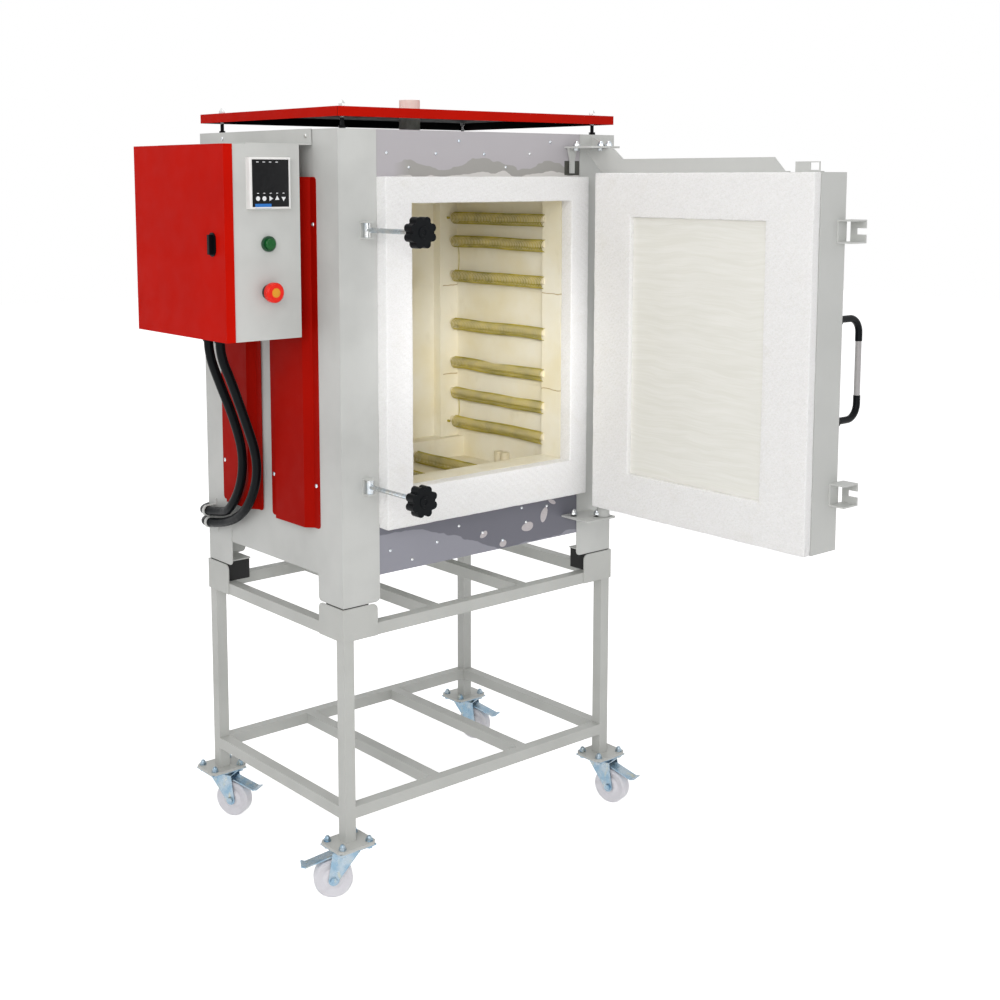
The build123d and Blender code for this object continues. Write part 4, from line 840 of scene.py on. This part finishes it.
WEAR: dict[Finish, tuple[str, ...]] = {
    GREY: (
        "corner_posts", "skin_sheets", "enclosure", "brackets", "rear_cover", "hinge_carriers",
        "clamp_lugs"),
    CASING_GREY: ("door_casing", "lock_brackets", "door_hinge_leaves"),
    STAND_GREY: ("stand_legs", "stand_rails", "corner_sockets"),
    RED: ("box_door",),
    VENT_RED_PAINTED_SHADE: ("vent_panels",),
    LID_RED: ("lid_plate",),
    FRONT_METAL: ("front_sheet",),
    WADDING: ("door_filling",),
    BRICK: ("side_bricks", "roof_bricks", "floor_bricks"),
    COURSED_BRICK: ("back_bricks", "jamb_bricks"),
    BOARD: ("door_board",),
    BACKING: ("backing_boards",),
    CERAMIC: ("ceramic_rods",),
    TUBE: ("vent_tube",),
    WIRE: ("back_leads",),
    ZINC: ("caster_mounts", *(f"{part}_{c}" for part in ("fork", "pedal") for c in CORNERS)),
    BRIGHT: ("clamp_rod_upper", "clamp_rod_lower"),
    STUD: ("lid_studs",),
    BLACK: ("knob_upper", "knob_lower", "box_latch", "handle_elbows"),
    CONDUIT_BLACK: ("conduits",),
    RUBBER: ("post_pads",),
    NYLON: tuple(f"wheel_{c}" for c in CORNERS),
    GRIP: ("handle_grip",),
    GEAR: ("control_gear",),
    BEZEL: ("switch_bezels",),
    DISPLAY: ("controller_face",),
    GREEN: ("green_button",),
    STOP_RED: ("estop_cap",),
}


def cover_cad_nodes() -> None:
    """Gives each solid of the frame its finish."""
    for finish, names in WEAR.items():
        for name in names:
            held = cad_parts[name]
            if not held.material_slots:
                held.data.materials.append(finish.material())
            for slot in held.material_slots:
                slot.material = finish.material()
    log.info("finishes on %d solids", sum(len(names) for names in WEAR.values()))


# Sub-assemblies


@dataclass
class HeatingCoils:
    """Close wound elements on ceramic rods: seven on each side wall and two on the floor."""

    front: float = 112.6
    back: float = 432.0
    floor_back: float = 413.2
    right_x: float = 300.5
    left_x: float = -137.5
    floor_x: Point = (19.5, 169.5)
    floor_z: float = 805.3
    rows: Point = (1366.0, 1310.0, 1228.0, 1112.0, 1019.0, 945.0, 875.0)
    outer: float = 14.9
    wire: float = 0.85
    pitch: float = 5.4
    steps: int = 14
    sag: float = 2.6
    crowd: float = 1.4
    clear: float = 0.4
    bow: Point = (9.0, 3.0)
    link_in: float = 12.0

    def coil(self, x: float, z: float, back: float, start: float, end: float, seed: int) -> Surface:
        """One coil along Y.

        Its centre line rises and sags slowly and its turns crowd a little here and there. The
        wire runs round it as r (cos a, sin a), where a grows evenly from the start to the end
        angle plus full turns.

        Args:
            x: the rod's place across the kiln.
            z: the rod's height.
            back: where the coil ends.
            start: angle of the wire at the front, in degrees.
            end: angle of the wire at the back, in degrees.
            seed: picks the sag and the crowding.

        Returns:
            The wire's surface.
        """
        turns = round((back - self.front) / self.pitch)
        t = np.linspace(0, 1, turns * self.steps + 1)
        angle = np.radians(start) + t * (2 * math.pi * turns + math.radians(end - start))
        y = self.front + self.wire + t * (back - self.front - 2 * self.wire)
        centre = np.stack([np.full_like(t, x), y, np.full_like(t, z)], -1)
        line = np.stack([y * 0, y, y * 0], -1)
        drift = self.sag * ripple(line, 210.0, seed) * np.sin(math.pi * t) ** 0.5
        pack = self.crowd * ripple(line, 60.0, seed + 40) * np.sin(math.pi * t)
        radius = self.outer - self.wire - self.clear - np.abs(drift) * 0.25
        out = np.stack([np.cos(angle), np.zeros_like(t), np.sin(angle)], -1)
        path = centre + out * radius[:, None] + np.stack([np.zeros_like(t), pack, drift], -1)
        path[:, 1] = np.clip(path[:, 1], self.front + self.wire, back - self.wire)
        return swept(path, self.wire, out, 6)

    def link(self, x: float, y: float, high: float, low: float, side: float) -> Surface:
        """The wire from one coil's end down to the next, bowed to a side in its middle.

        It is moved sideways by the given side times a half sine to the power 0.4.

        Args:
            x: the rods' place across the kiln.
            y: the link's place along the rods.
            high: height of the upper rod.
            low: height of the lower rod.
            side: how far it bows, and to which side.

        Returns:
            The wire's surface.
        """
        reach = self.outer - self.wire - self.clear
        z = np.linspace(high - reach, low + reach, 16)
        bow = side * np.sin(np.linspace(0, math.pi, 16)) ** 0.4
        path = np.stack([x + bow, np.full(16, y), z], -1)
        return swept(path, self.wire, np.array(Axis.RIGHT.value), 8)

    def wall(self, x: float, outward: float, seed: int) -> Surface:
        """Seven coils of one wall, wired in turn at the front and at the back.

        Args:
            x: the rods' place across the kiln.
            outward: the side of the wall, where the links bow to, as -1 or 1.
            seed: picks the unevenness of the first coil.

        Returns:
            Two lines of coils, four above and three below, as one surface.
        """
        parts = []
        ends = (3, len(self.rows) - 1)
        places = (self.front + self.wire + self.clear, self.back - self.link_in)
        for i, z in enumerate(self.rows):
            odd = i % 2
            end = -90.0 if odd or i in (0, 4) else 90.0
            parts.append(self.coil(x, z, self.back, 90.0 if odd else -90.0, end, seed + i))
            if i not in ends:
                below = self.rows[i + 1]
                parts.append(self.link(x, places[odd], z, below, outward * self.bow[odd]))
        return Surface.joined(parts)

    def build(self) -> None:
        """Makes both walls' coils and the floor's, in place of the coarse solids."""
        right = self.wall(self.right_x, 1.0, 3)
        floor = [
            self.coil(x, self.floor_z, self.floor_back, -90.0, 90.0, 60 + i)
            for i, x in enumerate(self.floor_x)
        ]
        left = Surface.joined([self.wall(self.left_x, -1.0, 23), *floor])
        made = right.piece("element_coils_right", WIRE, "kiln", "element_wire", 80)
        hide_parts("coils_wound")
        made = left.piece("element_coils_left_and_floor", WIRE, "kiln", "element_wire", 80)
        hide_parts("coils_plain")


@dataclass
class FibreFaces:
    """The felt ring round the kiln's mouth and the felt frame round the door's board."""

    ring_x: Point = (-202.5, -136.5, 299.5, 351.5)
    ring_z: Point = (757.0, 838.0, 1410.0, 1463.0)
    ring_y: Point = (27.75, 61.75)
    door_y: Point = (-587.25, -474.25, -116.25, -8.25)
    door_z: Point = (735.0, 826.0, 1377.0, 1471.0)
    door_x: Point = (332.0, 354.0)
    edge: float = 3.2
    uneven: float = 0.9
    tuck: float = 9.0

    def strips(self, wide: tuple, high: tuple, deep: tuple, along: int, seed: int) -> Surface:
        """Four strips round an opening; the uprights' ends run on into the level strips.

        Args:
            wide: outer, inner, inner and outer limit along the level axis.
            high: the same, upwards.
            deep: near and far face.
            along: index of the level axis.
            seed: picks the unevenness of the first strip.

        Returns:
            The strips as one surface: above, below, and the two uprights.
        """
        w0, w1, w2, w3 = wide
        z0, z1, z2, z3 = high
        upright = (z1 - self.tuck, z2 + self.tuck)
        spans = (
            ((w0, w3), (z2, z3), along), ((w0, w3), (z0, z1), along),
            ((w0, w1), upright, 2), ((w2, w3), upright, 2))
        parts = []
        for i, (level, height, way) in enumerate(spans):
            pairs = (level, deep, height) if along == 0 else (deep, level, height)
            low, high_corner = zip(*pairs)
            parts.append(soft_bar(low, high_corner, way, self.edge, self.uneven, seed + i))
        return Surface.joined(parts)

    def build(self) -> None:
        """Lays the strips of the ring and of the door's frame."""
        ring = self.strips(self.ring_x, self.ring_z, self.ring_y, 0, 1)
        frame_strips = self.strips(self.door_y, self.door_z, self.door_x, 1, 5)
        made = ring.piece("fibre_ring_strips", FIBRE, "kiln", "white_fibre")
        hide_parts("fibre_ring")
        made = frame_strips.piece("door_fibre_strips", FIBRE, "door", "white_fibre")
        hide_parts("door_fibre_frame")


class Head(Enum):
    """Turned shapes of the fasteners, radius and height from the seat."""

    RIVET = ((3.6, 0.0), (3.5, 0.6), (2.9, 1.4), (1.8, 2.0), (0.7, 2.2))
    PAN = ((4.6, 0.0), (4.6, 0.9), (4.1, 2.0), (2.8, 2.8), (1.6, 3.0), (1.4, 1.9), (0.5, 1.8))
    WASHER = ((8.0, 0.0), (8.0, 1.4), (6.0, 1.5))
    HEX = ((7.3, 0.0), (7.3, 5.2), (6.4, 5.8), (2.0, 5.8))
    DOME = ((5.6, 5.0), (5.5, 7.0), (4.6, 9.4), (2.6, 11.3), (0.8, 11.9))
    BOSS = ((12.0, 0.0), (11.4, 1.6), (6.6, 1.9), (5.2, 1.8), (4.4, 0.4), (1.0, 0.3))
    GLAND = ((13.0, 0.0), (13.0, 14.0), (12.0, 14.6), (11.6, 22.0))
    INLET = ((9.0, 20.0), (9.0, 0.0), (13.0, 0.0), (13.0, 22.0))
    FOOT = ((12.0, 0.0), (12.0, 3.0), (11.0, 4.0), (7.4, 4.6))

    def form(self, sides: int) -> Surface:
        """The turned shape with so many steps round its axis."""
        return turned(self.value, sides)


@dataclass
class Fasteners:
    """Rivets, screws and bolts that hold sheets, panels, casters and hinges."""

    sheet_y: float = 60.25
    high: Points = (
        (-176, 1509), (-121, 1481), (-52, 1509), (9, 1535), (76, 1509), (136, 1482),
        (204, 1511), (264, 1537), (323, 1511))
    low: Points = (
        (-174, 706), (-118, 678), (-52, 704), (7, 729), (73, 704), (130, 678),
        (198, 708), (260, 735), (185, 742))
    panel_y: Point = (144.75, 303.75, 504.75)
    panel_z: Point = (843.0, 1369.0)
    skin_x: Point = (-294.7, 457.7)
    casters: Points = ((-281.5, 66.75), (444.5, 66.75), (-281.5, 575.75), (444.5, 575.75))
    grip: Point = (33.0, 27.0)
    plates: Point = (105.0, 114.0)
    hinge: Points = ((318.0, 34.0), (356.0, -2.0), (368.0, -14.0))
    bar: Points = ((-296.5, 164.0, 1542.5), (-296.5, 484.0, 1542.5))
    pocket: Point = (303.0, 352.0, 1462.0, 1500.0)
    pocket_in: float = 1.3
    pocket_t: float = 0.5
    drip_in: float = 0.05
    drip_t: float = 0.35
    drips: Points = (
        (75.6, 699.0, 11.0, 6.5, 25.0), (130.8, 670.5, 10.0, 7.5, 10.0),
        (202.1, 696.7, 17.0, 10.0, 5.0), (251.4, 716.3, 9.5, 17.0, -20.0),
        (275.8, 742.3, 12.0, 4.5, -25.0))
    arms: Points = ((1524.0, 1528.0), (708.0, 712.0))

    def nuts(self, places: list, facing: Axis) -> Surface:
        """A washer, a hexagon nut and its dome at each place."""
        parts = (Head.WASHER.form(20), Head.HEX.form(6), Head.DOME.form(16))
        return Surface.joined([p.placed(places, facing, 15.0) for p in parts])

    def bolts(self, spots: list, low: float, high: float) -> list[Surface]:
        """Bolts through a plate at each (x, y): a nut above it and a hexagon head below."""
        heads = Head.HEX.form(6).placed([(x, y, low) for x, y in spots], Axis.DOWN)
        return [self.nuts([(x, y, high) for x, y in spots], Axis.UP), heads]

    def build(self) -> None:
        """Sets every row of fasteners."""
        spots = [(x, self.sheet_y, z) for x, z in self.high + self.low]
        rivets = Head.RIVET.form(14).placed(spots, Axis.FRONT)
        rivets.piece("sheet_rivets", BRIGHT, "kiln", "chrome")
        screw = Head.PAN.form(16)
        screws = [
            screw.placed([(x, y, z) for y in self.panel_y for z in self.panel_z], way)
            for x, way in zip(self.skin_x, (Axis.LEFT, Axis.RIGHT))
        ]
        screws.append(screw.placed(self.bar, Axis.LEFT))
        Surface.joined(screws).piece("panel_screws", BRIGHT, "kiln", "chrome")
        (dx, dy), sides = self.grip, (-1, 1)
        spots = [(x + i * dx, y + j * dy) for x, y in self.casters for i in sides for j in sides]
        plates = Surface.joined(self.bolts(spots, *self.plates))
        plates.piece("caster_plate_bolts", ZINC, "kiln", "zinc")
        parts = [part for low, high in self.arms for part in self.bolts(self.hinge, low, high)]
        Surface.joined(parts).piece("hinge_arm_bolts", BRIGHT, "kiln", "chrome")
        self.marks()

    def marks(self) -> None:
        """Puts a dark sheet in the slot behind the upper hinge as painted shade, and sets the
        drips.

        A drip is a flat tilted oval (wide cos t, high sin t (1 + 0.15 cos t)).
        """
        x0, x1, z0, z1 = self.pocket
        # Painted shade: a dark sheet lines the slot behind the upper hinge, where the recess is in
        # shade.
        slot = plate([(x0, z0), (x1, z0), (x1, z1), (x0, z1)], self.pocket_t)
        seat = (0, self.sheet_y + self.pocket_in, 0)
        slot.points = slot.points[:, [0, 2, 1]] * (1, -1, 1) + seat
        slot.piece("hinge_pocket_painted_shade_sheet", POCKET_PAINTED_SHADE, "kiln", "grey_paint")
        a = np.arange(20) * math.pi / 10
        runs = []
        for x, z, wide, high, tilt in self.drips:
            oval = [(wide * math.cos(t), high * math.sin(t) * (1 + 0.15 * math.cos(t))) for t in a]
            spot = (x, self.sheet_y + self.drip_in, z)
            runs.append(plate(oval, self.drip_t).placed(spot, Axis.FRONT, tilt))
        Surface.joined(runs).piece("cement_drips", CEMENT, "kiln", "white_fibre")


@dataclass
class Conduits:
    """The two black conduits from the control box round the back post, with their glands."""

    corner: Point = (-293.5, 57.75)
    radius: float = 10.0
    gland_h: float = 22.0
    front: Points = (
        (-110.0, 270.0, 1126.0), (-109.5, 270.5, 1098.0), (-84.0, 272.0, 1042.0),
        (-55.0, 269.0, 958.0), (-35.0, 260.0, 886.0), (-29.0, 271.0, 822.0),
        (-29.0, 318.0, 752.0), (-17.0, 425.0, 704.0), (-25.0, 551.0, 692.0), (88.0, 547.0, 696.0))
    rear: Points = (
        (-110.0, 317.0, 1126.0), (-109.5, 317.5, 1098.0), (-84.0, 322.0, 1036.0),
        (-56.0, 317.0, 962.0), (-34.0, 316.0, 884.0), (-29.0, 333.0, 810.0),
        (-29.0, 383.0, 746.0), (-18.0, 440.0, 728.0), (-25.0, 551.0, 718.0), (88.0, 547.0, 723.0))
    inlet: Point = (266.5, 602.25, 653.0)

    def build(self) -> None:
        """Draws both tubes as splines over the routes' control points, and turns the glands."""
        curve = bpy.data.curves.new("black_conduits", "CURVE")
        curve.dimensions = "3D"
        curve.bevel_depth = self.radius * MM
        curve.bevel_resolution = 4
        curve.resolution_u = 10
        curve.use_fill_caps = True
        ends = []
        for route in (self.front, self.rear):
            points = np.array(route) + (*self.corner, 0.0)
            spline = curve.splines.new("NURBS")
            spline.points.add(len(points) - 1)
            weighted = np.column_stack([points * MM, np.ones(len(points))])
            spline.points.foreach_set("co", weighted.ravel())
            spline.order_u = 3
            spline.use_endpoint_u = True
            ends.append((points[0], points[-1]))
        curve.materials.append(CONDUIT_BLACK.material())
        made = linked("black_conduits", curve)
        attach(made, "kiln")
        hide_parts("conduits")
        gland = Head.GLAND.form(24)
        tops = gland.placed([first + (0, 0, self.gland_h) for first, _ in ends], Axis.DOWN)
        sides = gland.placed([last + (self.gland_h, 0, 0) for _, last in ends], Axis.LEFT)
        inlet = Head.INLET.form(24).placed(self.inlet, Axis.UP)
        glands = Surface.joined([tops, sides, inlet])
        glands.piece("conduit_glands", CONDUIT_BLACK, "kiln", "black_plastic")


@dataclass
class Handles:
    """The door handle's two moulded elbows and the bosses of the star knobs."""

    door_x: float = 434.0
    grip_x: float = 503.5
    grip_y: float = -575.25
    ends: Points = ((988.0, 1034.0), (1188.0, 1142.0))
    radius: float = 7.0
    bend: float = 30.0
    knobs: tuple[tuple[str, float], ...] = (("upper_knob", 1359.25), ("lower_knob", 849.25))
    knob_at: Point = (-234.5, -133.0)

    def elbow(self, foot: float, end: float) -> Surface:
        """One elbow on its round foot: out along X, a quarter circle, then along Z to the grip.

        The quarter circle is bend (sin a, 1 - cos a).

        Args:
            foot: height of the foot.
            end: height of the end at the grip.

        Returns:
            Tube and foot as one surface.
        """
        way = math.copysign(1.0, end - foot)
        a = np.linspace(0, math.pi / 2, 14)
        x = self.grip_x - self.bend + self.bend * np.sin(a)
        z = foot + way * self.bend * (1 - np.cos(a))
        arc = np.stack([x, np.full_like(a, self.grip_y), z], -1)
        seat = (self.door_x, self.grip_y, foot)
        path = np.concatenate([[seat], arc, [(self.grip_x, self.grip_y, end)]])
        tube = swept(path, self.radius, np.array(Axis.BACK.value), 20)
        plinth = Head.FOOT.form(24).placed(seat, Axis.RIGHT)
        return Surface.joined([tube, plinth])

    def build(self) -> None:
        """Makes the elbows and the bosses."""
        elbows = Surface.joined([self.elbow(foot, end) for foot, end in self.ends])
        made = elbows.piece("handle_elbow_mouldings", BLACK, "door", "black_plastic", 50)
        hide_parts("handle_elbows")
        x, y = self.knob_at
        for body, z in self.knobs:
            boss = Head.BOSS.form(28).placed((x, y, z), Axis.FRONT)
            boss.piece(f"{body}_boss", BLACK, body, "black_plastic")


@dataclass
class PanelMarks:
    """Plain marks on the controller's face and the coloured disc on the emergency stop."""

    face_y: float = 124.75
    keys_z: float = 1421.0
    keys_x: Point = (-431.5, -417.5, -403.5, -389.0, -374.5)
    key_r: float = 4.4
    lamps_z: float = 1490.0
    band_at: Point = (-420.0, 1406.5)
    band_size: Point = (18.0, 4.6)
    stop: Point = (-403.5, 110.75, 1241.0)
    stop_r: float = 9.0
    lift: float = 0.1
    ink: float = 0.3
    dash: Point = (2.6, 0.7)
    dash_up: float = 10.0

    def outline(self, corners: int, first: float) -> list[Point]:
        """An even outline as large as a key, and a quarter larger where it has few corners.

        Each corner is r (cos a, sin a), where a grows evenly by a full turn.

        Args:
            corners: how many it has.
            first: angle of the first one, in degrees.

        Returns:
            The corners in order.
        """
        a = np.radians(first) + np.arange(corners) * 2 * math.pi / corners
        r = self.key_r * (1.0 if corners > 4 else 1.25)
        return list(zip(r * np.cos(a), r * np.sin(a)))

    def printed(self, outline: list, places: list) -> Surface:
        """A thin print on the face at each (x, z)."""
        spots = [(x, self.face_y + self.lift, z) for x, z in places]
        return plate(outline, self.ink).placed(spots, Axis.FRONT)

    def build(self) -> None:
        """Prints the keys and lamps, and sets the disc."""
        shapes = ((24, 0.0), (24, 0.0), (3, 0.0), (3, 90.0), (3, 270.0))
        marks = []
        for x, (corners, first) in zip(self.keys_x, shapes):
            marks.append(self.printed(self.outline(corners, first), [(x, self.keys_z)]))
        unit = ((-1, -1), (1, -1), (1, 1), (-1, 1))
        long, thick = self.dash
        dash = [(long * x, thick * y) for x, y in unit]
        marks.append(self.printed(dash, [(x, self.lamps_z) for x in self.keys_x[:4]]))
        small = [(0.8 * x, 0.9 * y) for x, y in dash]
        marks.append(self.printed(small, [(x, self.keys_z + self.dash_up) for x in self.keys_x]))
        Surface.joined(marks).piece("controller_marks", PRINT, "kiln", "grey_plastic")
        wide, high = self.band_size
        band = self.printed([(wide * x, high * y) for x, y in unit], [self.band_at])
        band.piece("controller_band", BLUE_PRINT, "kiln", "grey_plastic")
        rim = self.stop_r
        disc = turned([(rim, -0.3), (rim, 0.3), (rim - 0.4, 0.5)], 36).placed(self.stop, Axis.FRONT)
        disc.piece("stop_disc", STOP_YELLOW, "emergency_stop", "red_plastic")


# Studio


@dataclass
class Lamp:
    """A square soft box, or a narrow lamp where it has a cone."""

    name: str
    place: Point
    aim: Point
    size: float
    watts: float
    cone: float = 0.0

    def build(self) -> None:
        """Hangs the lamp and points it."""
        data = bpy.data.lights.new(self.name, "SPOT" if self.cone else "AREA")
        if self.cone:
            data.spot_size = math.radians(self.cone)
            data.spot_blend = 0.6
            data.shadow_soft_size = self.size
        else:
            data.size = self.size
        data.energy = self.watts
        made = linked(self.name, data)
        x, y, z = np.array(self.aim) - np.array(self.place)
        made.location = self.place
        tilt, turn = math.atan2(math.hypot(x, y), -z), math.atan2(y, x) - math.pi / 2
        made.rotation_euler = (tilt, 0.0, turn)


@dataclass
class Studio:
    """White sweep, soft lamps and the camera at the picture's place."""

    camera_at: Point = (-1.8917, -2.25845, 1.460)
    yaw: float = 40.05
    pitch: float = -7.229
    lens: float = 52.1
    shift: Point = (0.0229, -0.1385)
    lamps: tuple[Lamp, ...] = (
        Lamp("key_box", (-2.8, -2.1, 2.5), (0.1, 0.1, 1.0), 1.8, 36.0),
        Lamp("front_box", (-1.7, -2.6, 1.2), (0.1, 0.2, 1.1), 1.4, 8.5),
        Lamp("fill_box", (2.6, -2.6, 2.0), (0.1, 0.1, 1.0), 2.2, 9.0),
        Lamp("top_box", (-0.2, 0.2, 3.6), (0.1, 0.2, 0.0), 2.4, 22.0),
        Lamp("chamber_lamp", (-1.75, -2.32, 1.75), (0.31, 0.3, 1.02), 0.12, 198.0, 9.2),
    )
    sky: float = 0.5
    glow: float = 0.68
    floor_half: float = 14.0
    floor_z: float = -0.0005

    def build(self) -> None:
        """Makes floor, world, lamps and camera."""
        scene = bpy.context.scene
        scene.view_settings.view_transform = "Standard"
        mesh = bpy.data.meshes.new("studio_floor")
        unit = ((-1, -1), (1, -1), (1, 1), (-1, 1))
        corners = [(x * self.floor_half, y * self.floor_half, self.floor_z) for x, y in unit]
        mesh.from_pydata(corners, [], [(0, 1, 2, 3)])
        floor = linked("studio_floor", mesh)
        mesh.materials.append(self.floor_paint())
        self.light_world()
        for lamp in self.lamps:
            lamp.build()
        data = bpy.data.cameras.new("picture_camera")
        data.lens = self.lens
        data.sensor_width = 36.0
        data.shift_x, data.shift_y = self.shift
        data.clip_end = 60.0
        held = linked("picture_camera", data)
        held.location = self.camera_at
        held.rotation_euler = (math.radians(90 + self.pitch), 0.0, math.radians(-self.yaw))
        scene.camera = held

    def seen_plain(self, tree: bpy.types.NodeTree) -> Socket:
        """Tells where the plain white backdrop is seen.

        Args:
            tree: the material's or the world's tree.

        Returns:
            1 where the camera, a reflection or a clear body looks, and 0 elsewhere.
        """
        to = Shading(tree)
        path = to.add("LightPath").node.outputs
        seen = path["Is Camera Ray"]
        for kind in ("Is Glossy Ray", "Is Transmission Ray"):
            seen = to.add("Math", (seen, path[kind]), operation="MAXIMUM")
        return seen

    def floor_paint(self) -> bpy.types.Material:
        """A matt white floor that keeps the kiln's shadow.

        Returns:
            The material.
        """
        made = bpy.data.materials.new("studio_paper")
        made.use_nodes = True
        tree = made.node_tree
        shader = found(tree, "BSDF_PRINCIPLED")
        shader.inputs["Base Color"].default_value = linear("fbfbfb")
        shader.inputs["Roughness"].default_value = 0.9
        shader.inputs["Specular IOR Level"].default_value = 0.0
        to = Shading(tree)
        glow = to.add("Emission", {"Color": "ffffff", "Strength": self.glow})
        both = to.add("AddShader", (shader.outputs[0], glow))
        plain = to.add("MixShader", (self.seen_plain(tree), shader.outputs[0], both))
        out = found(tree, "OUTPUT_MATERIAL")
        tree.links.new(plain, out.inputs["Surface"])
        return made

    def light_world(self) -> None:
        """A white backdrop to the eye and a plain soft sky to the kiln."""
        world = bpy.data.worlds.new("studio_world")
        bpy.context.scene.world = world
        world.use_nodes = True
        tree = world.node_tree
        levels = {"Value": self.seen_plain(tree), "To Min": self.sky, "To Max": 1.0}
        strength = Shading(tree).add("MapRange", levels)
        held = found(tree, "BACKGROUND")
        held.inputs["Color"].default_value = linear("ffffff")
        tree.links.new(strength, held.inputs["Strength"])


def main() -> None:
    """Builds the kiln's dress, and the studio."""
    logging.basicConfig(level=logging.INFO, format="%(name)s %(message)s")
    Studio().build()
    cover_cad_nodes()
    HeatingCoils().build()
    FibreFaces().build()
    Fasteners().build()
    Conduits().build()
    Handles().build()
    PanelMarks().build()


if __name__ == "__main__":
    main()
